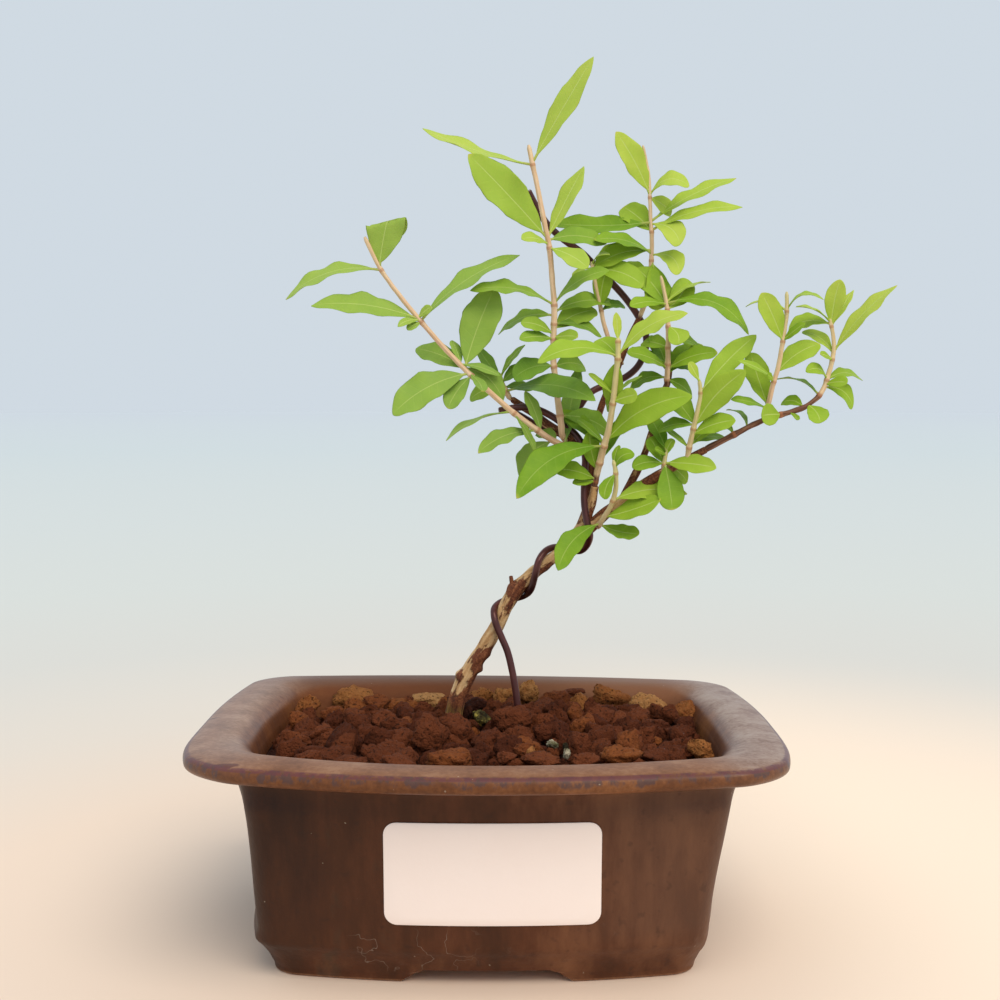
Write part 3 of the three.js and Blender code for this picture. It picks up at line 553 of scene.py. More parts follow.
def makePaper():
    # Blank white paper, a little warm, with faint clouds and fibres.
    material, s = newMaterial("stickerPaper")
    place = s.objectPlace()
    fibre = s.noise(place, 900, 4, 0.6)
    cloud = s.noise(place, 60, 3, 0.5)
    s.finish({
        "Base Color": s.mix((0.92, 0.81, 0.76), (0.95, 0.86, 0.82), cloud * 0.8 + fibre * 0.2),
        "Roughness": 0.5 + fibre * 0.15,
        "Normal": s.bump(fibre, 0.00008, 0.4),
    })
    return material


def wallFront(x, z, out):
    # The front wall at a place across and a height, out millimetres before it: the outline's
    # straight side with its bow, -(half + bow * (1 - (x / half)^2)).
    start, end = label["wallPart"]
    wall = np.array(pot["outside"][start:end])
    inset = np.interp(z, wall[:, 1], wall[:, 0]) - out
    flatX, flatY = flatHalves(inset)
    return -(flatY + pot["bowY"] * (1 - (x / flatX) ** 2))


def makeLabel():
    # The outline of a rectangle with round corners, times each ring's shrink, is laid on the wall.
    outline = roundCorners(8, 11, 11)
    half = np.array([label["width"], label["height"]]) / 2 - label["corner"]
    outline = outline[:, :2] * half + label["corner"] * outline[:, 2:]
    flat = outline * np.array(label["shrink"])[:, None, None]
    x, z = flat[..., 0] + label["across"], flat[..., 1] + label["up"]
    y = wallFront(x, z, np.array(label["out"])[:, None])
    rings = np.stack([x + potMiddle * 1000, y, z], -1) / 1000
    piece = addPiece("blankSticker", rings, makePaper(), ["label"])
    smoothFaces(piece.data, label["sharpAngle"])


def makeNetting():
    # The two nettings keep their own shape and get black plastic with a fine grain.
    material, s = newMaterial("blackNetting")
    rough = s.noise(s.objectPlace(), 700, 3)
    s.finish({
        "Base Color": s.mix((0.014, 0.016, 0.015), (0.035, 0.036, 0.034), rough),
        "Roughness": 0.5 + rough * 0.2,
        "Normal": s.bump(rough, 0.0002, 0.5),
    })
    for name in ("netting_left", "netting_right"):
        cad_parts[name].data.materials.clear()
        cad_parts[name].data.materials.append(material)


makeLabel()
makeNetting()
print("sticker and nettings ready")


# The soil is a dark bed with coarse crumbly stones on it. Big and small stones are strewn a pitch
# apart, with sizes, a height above the level and stretched sides, on grids of [rows, columns].
# Clear places, round the trunk and the wire, are [across, depth, radius]. A stone keeps from
# them, from the wall and from others by a share of its size. Tones are [least, how much more],
# and ochre stones are commoner and lighter towards the back wall.
soil = {
    "bed": [[20.9, 10.1], [20.9, 13], [19.4, 26], [18.3, 43.1], [17.4, 46.2], [24, 47.4],
            [34, 48.2], [46, 48.6]],
    "bedTone": 0.06, "edge": 54, "sideEdge": 39.5, "level": 47.9, "rise": 3.6, "seed": 5,
    "faceCuts": 11, "cutReach": [0.72, 1.05], "cutPower": 12, "leastReach": 0.8,
    "bumps": [[0.9, 0.08], [0.42, 0.06], [0.24, 0.03]], "lean": 0.5,
    "rows": 24, "rowPitch": 0.866, "jitter": 0.32, "drop": [-0.9, 0.7], "wallInset": 17.2,
    "clear": [[-9.5, 6.2, 2.6], [8, -1, 1]], "wallRoom": 0.9, "clearRoom": 0.75, "apart": 0.72,
    "ownDepth": 0.9, "backFrom": [18, 36], "ochreShare": [0.05, 0.5], "ochreTone": [0.55, 0.2],
    "big": {"pitch": 7.4, "sizes": [2.7, 4.3], "up": 0.3, "stretch": [0.78, 1.12],
            "tone": [0.14, 0.3], "grid": [22, 28]},
    "small": {"pitch": 4.5, "sizes": [1.4, 2.4], "up": -1.2, "stretch": [0.8, 1.15],
              "tone": [0.1, 0.4], "ochreFrom": 0.93, "ochreTone": 0.6, "grid": [8, 9]},
}
# Single stones are [across, height, depth, half width, half height, tone, growth], as they line up
# from the front. Tone runs from dark brown at 0 to ochre at 1. Growth is 0 for bare stone, 1 for
# moss and 2 for a pale pebble.
stones = [
    [5.3, 46.7, -4, 5.4, 3.3, 0.36, 0], [10.5, 54.4, 36, 2.9, 3, 0.84, 0],
    [4, 52.7, 33, 3.2, 2.3, 0.8, 0], [-14.9, 52.6, 40, 4.2, 1.9, 0.94, 0],
    [-2.4, 52.9, 36, 3.2, 2.2, 0.74, 0], [31.6, 53, 34, 4.4, 3.2, 0.68, 0],
    [16.7, 52.1, 32, 3.8, 2.6, 0.48, 0], [21.9, 54.5, 40, 3.1, 1.3, 0.34, 0],
    [42.2, 51.3, 37, 4.5, 2.6, 0.9, 0], [51.6, 48.5, 26, 3.9, 3, 0.68, 0],
    [55.3, 39.1, -24, 2.9, 2.9, 0.76, 0], [33.9, 38.1, -37, 5.4, 2.6, 0.6, 0],
    [-9, 36.8, -40, 5.6, 2.8, 0.55, 0], [-15.2, 43.2, -18, 4.3, 5.1, 0.4, 0],
    [-7.9, 43.9, -8, 4.8, 4, 0.34, 0], [-0.4, 41, -18, 3.8, 3.7, 0.28, 0],
    [-34.2, 52, 38, 4.9, 2.8, 0.76, 0], [-46.6, 51.2, 28, 3, 2.2, 0.68, 0],
    [28.2, 46.8, 6, 4.6, 3.1, 0.36, 0], [14.2, 43.9, -10, 2.8, 2.6, 0.24, 0],
    [19.6, 41, -16, 2, 2.6, 0.26, 0], [23.3, 41, -20, 3.1, 3.1, 0.33, 0],
    [39.6, 41.8, -6, 3.1, 3.1, 0.34, 0], [44.3, 45, 6, 2.8, 2.6, 0.22, 0],
    [38.3, 47.9, 18, 2.8, 2.6, 0.4, 0], [22.2, 50, 22, 2.6, 2.3, 0.4, 0],
    [18.3, 47.9, 14, 2.8, 2.2, 0.3, 0], [4.6, 37.6, -34, 2.6, 1.5, 0.42, 0],
    [13.7, 36.8, -36, 4.3, 1.8, 0.45, 0], [9.5, 39.5, -26, 2.3, 1.8, 0.5, 0],
    [-1.5, 47.7, 3, 2.3, 2, 0.3, 1], [-3.2, 51.3, 12, 2.3, 2, 0.04, 0],
    [-5.8, 49.2, 8, 1.5, 1.5, 0.04, 0], [16.8, 41, -24, 1.4, 0.8, 0.3, 2],
    [20.4, 38.7, -30, 0.9, 1.3, 0.3, 2], [20.1, 40, -29, 0.9, 1.1, 0.2, 1],
    [11.1, 39.2, -30, 1, 1.3, 0.82, 0], [-22.4, 41.6, -14, 4.3, 3.6, 0.38, 0],
    [-31, 43.4, 0, 3.1, 3.1, 0.28, 0], [-26.1, 46.8, 8, 3.3, 2.8, 0.4, 0],
    [-37.5, 40.3, -18, 3.3, 2.6, 0.34, 0], [-43.2, 43.9, -2, 3.3, 2.6, 0.42, 0],
    [-50, 41.8, -10, 3.3, 2.3, 0.44, 0], [-49.1, 46.8, 12, 3.1, 2.3, 0.55, 0],
    [-40.3, 48.2, 18, 3.3, 2.3, 0.5, 0], [-29.1, 51, 26, 3.3, 2.3, 0.52, 0],
    [-21.9, 49.5, 20, 3.1, 2.3, 0.3, 0], [-11.3, 51, 28, 2.6, 1.8, 0.6, 0],
    [46.6, 48.9, 22, 3.1, 2.3, 0.3, 0], [49.7, 42.9, 0, 3.6, 2.8, 0.25, 0],
    [52.4, 38.9, -22, 2.6, 1.8, 0.35, 0], [43.5, 37.6, -30, 3.8, 2, 0.3, 0],
    [25.1, 36.8, -40, 3.3, 1.5, 0.45, 0], [-23, 35.8, -42, 4.6, 1.8, 0.42, 0],
    [-35.5, 36, -38, 4.1, 1.8, 0.35, 0], [-46.4, 37.6, -32, 3.8, 1.8, 0.38, 0],
    [-24.6, 51, 34, 3.2, 1.9, 0.63, 0],
]


def insidePot(x, y, inset):
    # How far out a place lies within the outline drawn in by inset: 0 in the middle, 1 at the
    # wall, from the eighth powers of its shares across and along.
    flatX, flatY = flatHalves(inset)
    u = x / (flatX * (1 + pot["bowX"] / flatX * (1 - np.clip(y / flatY, -1, 1) ** 2)))
    v = y / (flatY * (1 + pot["bowY"] / flatY * (1 - np.clip(x / flatX, -1, 1) ** 2)))
    return (np.abs(u) ** 8 + np.abs(v) ** 8) ** (1 / 8)


def stoneShapes(centres, halves, kind):
    # Round grids of directions. Each stone's surface stands at 1 / (sum of (direction . cut /
    # distance)^12)^(1/12), which is a rounded lump with flat cuts, roughened by waves, then turned
    # about the upright, leant over and stretched to its half sizes.
    rows, columns = kind["grid"]
    seed = soil["seed"] + rows
    draw = np.random.default_rng(seed)
    count = len(centres)
    lat = np.linspace(0.04, 1, rows // 2) * np.pi / 2
    lat = np.concatenate([lat, (np.pi - lat)[-2::-1]])[:, None]
    lon = fullTurn(columns)
    ways = np.stack([np.sin(lat) * np.cos(lon), np.sin(lat) * np.sin(lon),
                     -np.cos(lat) + 0 * lon], -1)
    cuts = unit(draw.normal(size=(count, soil["faceCuts"], 3)))
    cuts /= draw.uniform(*soil["cutReach"], (count, soil["faceCuts"], 1))
    share = np.clip(np.einsum("rci,nki->nrck", ways, cuts), 0, None)
    power = soil["cutPower"]
    reach = np.maximum((share ** power).sum(-1) ** (1 / power), soil["leastReach"])
    points = ways / reach[..., None]
    rough = 1
    for k, (size, strength) in enumerate(soil["bumps"]):
        shifted = points + draw.uniform(0, 40, (count, 1, 1, 3))
        rough = rough + strength * waves(shifted, size, seed + k)
    points = points * rough[..., None]
    lean = draw.uniform(-soil["lean"], soil["lean"], (count, 2, 1, 1)) / 2
    turn = draw.uniform(0, 2 * np.pi, count)[:, None, None]
    x = points[..., 0] * np.cos(turn) - points[..., 1] * np.sin(turn)
    y = points[..., 0] * np.sin(turn) + points[..., 1] * np.cos(turn)
    z = points[..., 2] + x * lean[:, 0] + y * lean[:, 1]
    return centres[:, None, None] + np.stack([x, y, z], -1) * halves[:, None, None]


def strewStones(kind, seed):
    # A hexagonal spread of places, each moved a little at random, kept inside the wall and off
    # the bark and the wire. The mound falls with the fourth powers of the shares across and along.
    draw = np.random.default_rng(seed)
    steps = np.arange(-soil["rows"], soil["rows"] + 1)
    row, column = np.meshgrid(steps, steps, indexing="ij")
    jitter = [draw.uniform(-soil["jitter"], soil["jitter"], row.shape) for k in range(2)]
    x = (column + (row % 2) * 0.5 + jitter[0]) * kind["pitch"]
    y = (row * soil["rowPitch"] + jitter[1]) * kind["pitch"]
    size = draw.uniform(*kind["sizes"], row.shape)
    tone = draw.uniform(0, 1, row.shape)
    drop = draw.uniform(*soil["drop"], row.shape)
    spread = (np.abs(x) / soil["edge"]) ** 4 + (np.abs(y) / soil["sideEdge"]) ** 4
    z = soil["level"] + kind["up"] + soil["rise"] * (1 - spread) + drop
    keep = insidePot(x, y, soil["wallInset"] + size * soil["wallRoom"]) < 1
    for across, depth, radius in soil["clear"]:
        keep &= np.hypot(x - across, y - depth) > radius + size * soil["clearRoom"]
    return np.stack([x, y, z], -1)[keep], size[keep], tone[keep]


def makeSoilLook():
    # Crumbly volcanic stone: the tone of each stone chooses its colour, with finer patches
    # and dark pits, painted as shade, on top of it.
    material, s = newMaterial("crumblySoil")
    place = s.objectPlace()
    tone = s.mark("tone")
    growth = s.mark("growth")
    patches = s.noise(place, 420, 4, 0.6)
    grains = s.noise(place, 1700, 4, 0.65)
    shadedPits = s.noise(place, 1100, 2, 0.5)
    stone = s.ramp(tone + (patches - 0.5) * 0.3 + (grains - 0.5) * 0.16, [
        (0, (0.03, 0.009, 0.006)), (0.22, (0.1, 0.027, 0.0115)), (0.45, (0.165, 0.047, 0.0185)),
        (0.62, (0.245, 0.076, 0.022)), (0.8, (0.37, 0.15, 0.045)), (1, (0.54, 0.285, 0.11))])
    moss = s.ramp(patches, [
        (0.42, (0.028, 0.022, 0.012)), (0.54, (0.1, 0.085, 0.03)), (0.64, (0.42, 0.34, 0.075))])
    pebble = s.ramp(patches, [(0.38, (0.12, 0.11, 0.05)), (0.6, (0.55, 0.49, 0.35))])
    s.finish({
        "Base Color": s.coats(stone, (moss, s.between(growth, 0.3, 0.6)),
                              (pebble, s.between(growth, 1.3, 1.6)),
                              # Painted shade: the pits are darkened for the shade that falls in them.
                              ((0.02, 0.008, 0.005), s.between(shadedPits, 0.42, 0.3) * 0.75)),
        "Roughness": 0.85 + grains * 0.12,
        "Specular IOR Level": 0.1,
        "Normal": s.bump(grains * 0.6 + shadedPits * 0.9 + patches * 0.8, 0.0013, 1.0),
    })
    return material


def putStones(name, kind, centres, halves, tones, growth, look):
    # All the stones of a kind make one piece.
    points = (stoneShapes(centres, halves, kind) + [potMiddle * 1000, 0, 0]) / 1000
    addPiece(name, points, look, ["soil"],
             {"tone": tones[:, None, None], "growth": growth[:, None, None]})


def makeSoil():
    look = makeSoilLook()
    addPiece("soilBed", potRings(soil["bed"]), look, ["soil"], {"tone": soil["bedTone"]})
    # The single stones, in millimetres from the middle of the pot, and where they leave room,
    # strewn ones.
    shown = np.array(stones)
    places = sight(*shown[:, :3].T) * 1000 - [potMiddle * 1000, 0, 0]
    nearer = (lineUp["distance"] + shown[:, 2]) / lineUp["distance"]
    halves = shown[:, [3, 3, 4]] * nearer[:, None]
    halves[:, 1] *= soil["ownDepth"]
    big, small = soil["big"], soil["small"]
    strewn, size, tone = strewStones(big, soil["seed"])
    apart = np.linalg.norm(strewn[:, None, :2] - places[None, :, :2], axis=-1)
    free = (apart > (size[:, None] + halves[None, :, 0]) * soil["apart"]).all(1)
    strewn, size, tone = strewn[free], size[free], tone[free]
    draw = np.random.default_rng(soil["seed"])
    strewnHalves = size[:, None] * draw.uniform(*big["stretch"], (len(size), 3))
    back = smoothStep(*soil["backFrom"], strewn[:, 1])
    (share, more), (ochre, paler), (least, spread) = (
        soil["ochreShare"], soil["ochreTone"], big["tone"])
    tone = np.where(tone < share + more * back, ochre + paler * back, least + tone * spread)
    centres = np.vstack([places, strewn])
    putStones("bigStones", big, centres, np.vstack([halves, strewnHalves]),
              np.concatenate([shown[:, 5], tone]), np.concatenate([shown[:, 6], 0 * tone]), look)
    strewn, size, tone = strewStones(small, soil["seed"] + 1)
    strewnHalves = size[:, None] * draw.uniform(*small["stretch"], (len(size), 3))
    least, spread = small["tone"]
    tone = np.where(tone > small["ochreFrom"], small["ochreTone"], least + tone * spread)
    putStones("smallStones", small, strewn, strewnHalves, tone, 0 * tone, look)
    print("soil ready:", len(centres), "large stones and", len(strewn), "small ones")


makeSoil()

# Woody limbs. Each tube has so many steps along it and sides round it. Places are [across,
# height, depth, radius] and ages are [height, age]. Knots are [height, -1 for the left or 1 for
# the right side, size as a share of the radius].
limbs = {
    "trunkBark": {
        "steps": 620, "sides": 44,
        "ages": [
            [44, 1.1], [49, 1.1], [53, 0.85], [56, 0.45], [60, 0.42], [62, 0.6], [66, 0.45],
            [69, 0.25], [77, 0.25], [80.5, 0.5], [82.5, 0.4], [85, 0.25], [93, 0.2], [99, 0.55],
            [130, 0.75],
        ],
        "knots": [
            [58.4, -1, 0.3], [61.8, 1, 0.4], [65.5, 1, 0.2], [81.3, -1, 0.25], [88, 1, 0.15],
        ],
        "places": [
            [-9.5, 28, 6.2, 2.6], [-9.3, 44, 6.2, 2.4], [-8.7, 50, 6, 2.05], [-7, 56, 5.6, 2.1],
            [-4.4, 61, 5.2, 2.1], [-0.7, 66.8, 4.8, 1.8], [2.2, 72, 4.4, 1.75], [4.6, 77, 4, 1.75],
            [8, 82.4, 3.5, 1.9], [11, 85.2, 3, 1.7], [15, 88.4, 2.6, 1.4], [19, 91.5, 2.2, 1.5],
            [22.3, 94.9, 1.9, 1.7], [24.6, 99, 1.6, 1.5], [26, 105, 1.6, 1.3], [26.4, 110, 1.9, 1.2],
            [25.9, 115, 2.6, 1.2], [23.9, 118.8, 3.6, 1.2], [20.5, 120.6, 4.6, 1.2],
            [17.3, 122.6, 5.4, 1.1], [14, 124.8, 6, 1], [11.4, 126.8, 6.4, 0.95],
            [8.4, 128.8, 6.8, 0.9], [5.6, 130.8, 7, 0.8],
        ],
    },
    "leaderBark": {
        "steps": 60, "sides": 28,
        "ages": [[99, 0.5], [108, 0.4]],
        "places": [[24.7, 99, 1.4, 1.3], [26.4, 103.7, 0.4, 1.2], [27.4, 108.2, -0.8, 1]],
    },
    "rightBranchBark": {
        "steps": 240, "sides": 28,
        "ages": [[94, 0.6], [118, 0.7]],
        "places": [
            [22, 94.8, 2, 1.7], [26, 97.5, 1, 1.6], [31, 101.8, 0, 1.4], [35.5, 105.3, -1, 1.25],
            [41, 109.3, -2.5, 1.2], [45.5, 112, -4, 1.1], [51, 115, -5.5, 0.95],
            [56, 117.7, -6.5, 0.8],
        ],
    },
    "upperBranchBark": {
        "steps": 200, "sides": 20,
        "ages": [[104, 0.74], [140, 0.74]],
        "places": [
            [34.5, 104.8, -0.6, 1], [36.5, 109, 0, 1], [38.8, 113.5, 1, 0.95], [40.7, 118.5, 2, 0.9],
            [42, 122.5, 3, 0.85], [43.5, 127.5, 4, 0.8], [44.8, 132, 4.6, 0.8], [45.8, 135, 5, 0.8],
            [46.5, 139.8, 5, 0.6],
        ],
    },
    "middleBranchBark": {
        "steps": 220, "sides": 20,
        "ages": [[110, 0.72], [150, 0.72]],
        "places": [
            [25.3, 110.5, 2.2, 1], [26.4, 117, 5, 0.95], [27.3, 122.5, 6.5, 0.9],
            [28.3, 126.5, 7.5, 0.85], [29.6, 130.5, 8, 0.8], [32, 136, 8.3, 0.8], [34, 141, 8.5, 0.75],
            [36, 146, 8.8, 0.75], [38.4, 151, 9, 0.7],
        ],
    },
    "deadTwigBark": {
        "steps": 30, "sides": 14,
        "ages": [[80, 0.74], [86, 0.74]],
        "places": [[6.6, 81.8, 3.6, 0.9], [6, 83.6, 3.4, 0.5], [5.8, 85, 3.2, 0.4]],
    },
}
# Swellings, ridges and knots are so many millimetres long.
bark = {"girth": 1.05, "swell": 0.06, "swellLength": 4.2, "ridge": 0.045, "ridgeLength": 1.1,
        "knotLength": 0.9, "knotAge": 0.9, "oldestKnot": 0.84, "tipShare": 0.012,
        "tipGirth": 0.35, "seed": 3}


def makeBark():
    # Smooth tan bark with upright streaks, and torn red-brown patches: more of them with age and
    # on the right side. The oldest bark, in the soil, is dark olive.
    material, s = newMaterial("tanBark")
    grain = s.mark("grain", "Vector")
    age = s.mark("age")
    streaks = s.noise(s.stretch(grain, (1, 1, 0.16)), 700, 5, 0.6)
    patches = s.noise(s.stretch(grain, (1, 1, 0.34)), 260, 6, 0.7)
    fine = s.noise(grain, 2200, 3, 0.6)
    tan = s.ramp(streaks * 0.8 + fine * 0.2, [
        (0.32, (0.31, 0.145, 0.052)), (0.48, (0.57, 0.335, 0.148)), (0.64, (0.74, 0.52, 0.28))])
    torn = s.ramp(streaks * 0.5 + fine * 0.5, [
        (0.36, (0.04, 0.013, 0.007)), (0.5, (0.16, 0.046, 0.018)), (0.66, (0.36, 0.14, 0.055))])
    olive = s.ramp(streaks, [(0.42, (0.065, 0.028, 0.008)), (0.6, (0.36, 0.22, 0.05))])
    cover = s.between(patches + age * 0.34 + s.part(grain, 0) * 42, 0.63, 0.68)
    oldest = s.between(age + (patches - 0.5) * 0.5, 0.88, 1.06)
    s.finish({
        "Base Color": s.coats(tan, (torn, cover), (olive, oldest * 0.75)),
        "Roughness": 0.6 + streaks * 0.25,
        "Specular IOR Level": 0.3,
        "Normal": s.bump(streaks * 0.7 + cover * 0.5 + fine * 0.25, 0.0005, 0.8),
    })
    return material


def makeLimb(name, limb, look):
    # A tube along its places. Its radius is multiplied by girth + slow swellings + fine ridges
    # that run with the grain + a bell curve of the height for each knot, on one side. Age goes by
    # the height, is greater on knots, and chooses how torn the bark is.
    steps, sides = limb["steps"], limb["sides"]
    path, radii, centres, lengths = followRoute(limb["places"], steps)
    grain = tubeGrain(radii, lengths, sides)
    seed = bark["seed"] + steps
    swell = waves(grain * [1, 1, 0.5], bark["swellLength"] / 1000, seed) * bark["swell"]
    ridges = waves(grain * [1, 1, 0.14], bark["ridgeLength"] / 1000, seed + 1) * bark["ridge"]
    ages = np.interp(path[:, 2], *np.transpose(limb["ages"]))[:, None]
    for height, side, size in limb.get("knots", []):
        bell = np.exp(-((path[:, 2] - height) / bark["knotLength"]) ** 2)[:, None]
        lump = bell * np.clip(side * np.cos(fullTurn(sides)), 0, 1) ** 2
        swell = swell + size * lump
        older = np.minimum(ages + bark["knotAge"] * lump ** 0.5, bark["oldestKnot"])
        ages = np.maximum(ages, older)
    taper = smoothStep(0, bark["tipShare"], np.linspace(1, 0, steps))[:, None]
    wide = radii[:, None] / 1000 * (bark["girth"] + swell + ridges)
    wide *= bark["tipGirth"] + (1 - bark["tipGirth"]) * taper
    addPiece(name, tubeRings(centres, wide), look, ["trunk"], {"grain": grain, "age": ages})


barkLook = makeBark()
for name, limb in limbs.items():
    makeLimb(name, limb, barkLook)
print("bark ready")


# Training wires: the solid that each replaces, and its places as [across, height, depth].
wires = {
    "lowerWireBar": ["lower_wire", [
        [8.2, 30, -1], [8.2, 42, -1], [7.7, 49, -1], [7, 55.5, -0.6], [6, 61, 0], [4.9, 65.4, 0.5],
        [3.4, 69, 1], [2.3, 71.6, 1.3], [1.7, 73.4, 1.5], [1.45, 75, 2.2], [1.6, 76.6, 4],
        [3, 78, 5.8], [5.1, 78.8, 6.7], [7.4, 79.3, 6.7], [9.4, 80, 5.5], [11, 81.6, 1.6],
        [11.8, 84.2, 0.6], [12.4, 86.8, 0], [12.9, 88.7, 0.1], [13.9, 90.5, 1.2], [15.3, 91.8, 2.9],
        [17.2, 92.4, 4.6], [19.4, 92.3, 5], [21.6, 91.7, 5], [23.6, 91.5, 3.2], [25.3, 92.9, 0.4],
        [26.1, 95.3, -1.7], [25.5, 98.3, -2.5], [24.9, 101.5, -2.1], [24.6, 104.5, -1.6],
        [24.6, 108, -0.9], [24.7, 112, -0.3], [24.8, 115.6, 0.2], [23.9, 119, 1], [22, 121.7, 2.2],
        [19.6, 123.6, 3], [17.1, 125.5, 3.8], [14, 127.2, 4.3], [10.8, 128.3, 4.2], [7, 128.2, 4.4],
        [2.6, 127.4, 4.6],
    ]],
    "upperWireBar": ["upper_wire", [
        [6.2, 127.2, 8.6], [9.5, 125.4, 8.6], [13, 123.3, 8.6], [16.5, 121.6, 8.2], [19.5, 122.9, 8],
        [23, 128, 9], [26, 132, 10], [30, 134, 10.6], [35, 136, 10.7], [38.3, 139, 10.7],
        [40.2, 144, 10.7], [39.8, 148, 10.8], [38, 151.6, 11], [35, 155.8, 11], [31, 160.2, 10.5],
        [27, 164.2, 10], [24, 167.2, 9.5], [19, 170.8, 8.5], [15, 174.5, 7.5], [12.4, 178.5, 7],
        [10, 183, 6.5],
    ]],
}
wire = {"radius": 0.9, "sides": 20, "perPlace": 14, "round": 0.35, "endGirth": 0.72,
        "cutShare": 0.4}


def makeWireLook():
    # Dark copper-brown coated wire, scuffed lighter along its length, bare grey at the cut ends.
    material, s = newMaterial("coatedWire")
    grain = s.mark("grain", "Vector")
    cut = s.mark("cut")
    scuffs = s.noise(s.stretch(grain, (1, 1, 0.08)), 900, 4, 0.6)
    clouds = s.noise(grain, 120, 3, 0.5)
    coating = s.ramp(scuffs * 0.55 + clouds * 0.45, [
        (0.35, (0.034, 0.009, 0.0085)), (0.55, (0.09, 0.02, 0.017)), (0.72, (0.23, 0.07, 0.055))])
    s.finish({
        "Base Color": s.mix(coating, (0.5, 0.48, 0.46), cut),
        "Roughness": 0.24 + scuffs * 0.22,
        "Metallic": 0.35 + cut * 0.45,
        "Specular IOR Level": 0.6,
        "Normal": s.bump(scuffs, 0.00012, 0.5),
    })
    return material


def makeWire(name, node, places, look):
    # A round bar along its places. Over the round of each end the radius is multiplied by
    # g + (1 - g) (1 - (1 - u)^2)^0.5, with u from 0 at the tip to 1 and g the end's girth.
    withRadius = [[*place, wire["radius"]] for place in places]
    radii, centres, lengths = followRoute(withRadius, len(places) * wire["perPlace"])[1:]
    fromEnd = np.minimum(lengths, lengths[-1] - lengths) / (wire["round"] / 1000)
    dome = np.sqrt(1 - (1 - np.clip(fromEnd, 0, 1)) ** 2)
    wide = radii / 1000 * (wire["endGirth"] + (1 - wire["endGirth"]) * dome)
    rings = tubeRings(centres, np.repeat(wide[:, None], wire["sides"], 1))
    addPiece(name, rings, look, [node], {
        "grain": tubeGrain(radii, lengths, wire["sides"]),
        "cut": (fromEnd < wire["cutShare"])[:, None]})


wireLook = makeWireLook()
for name, (node, places) in wires.items():
    makeWire(name, node, places, wireLook)
print("wires ready")


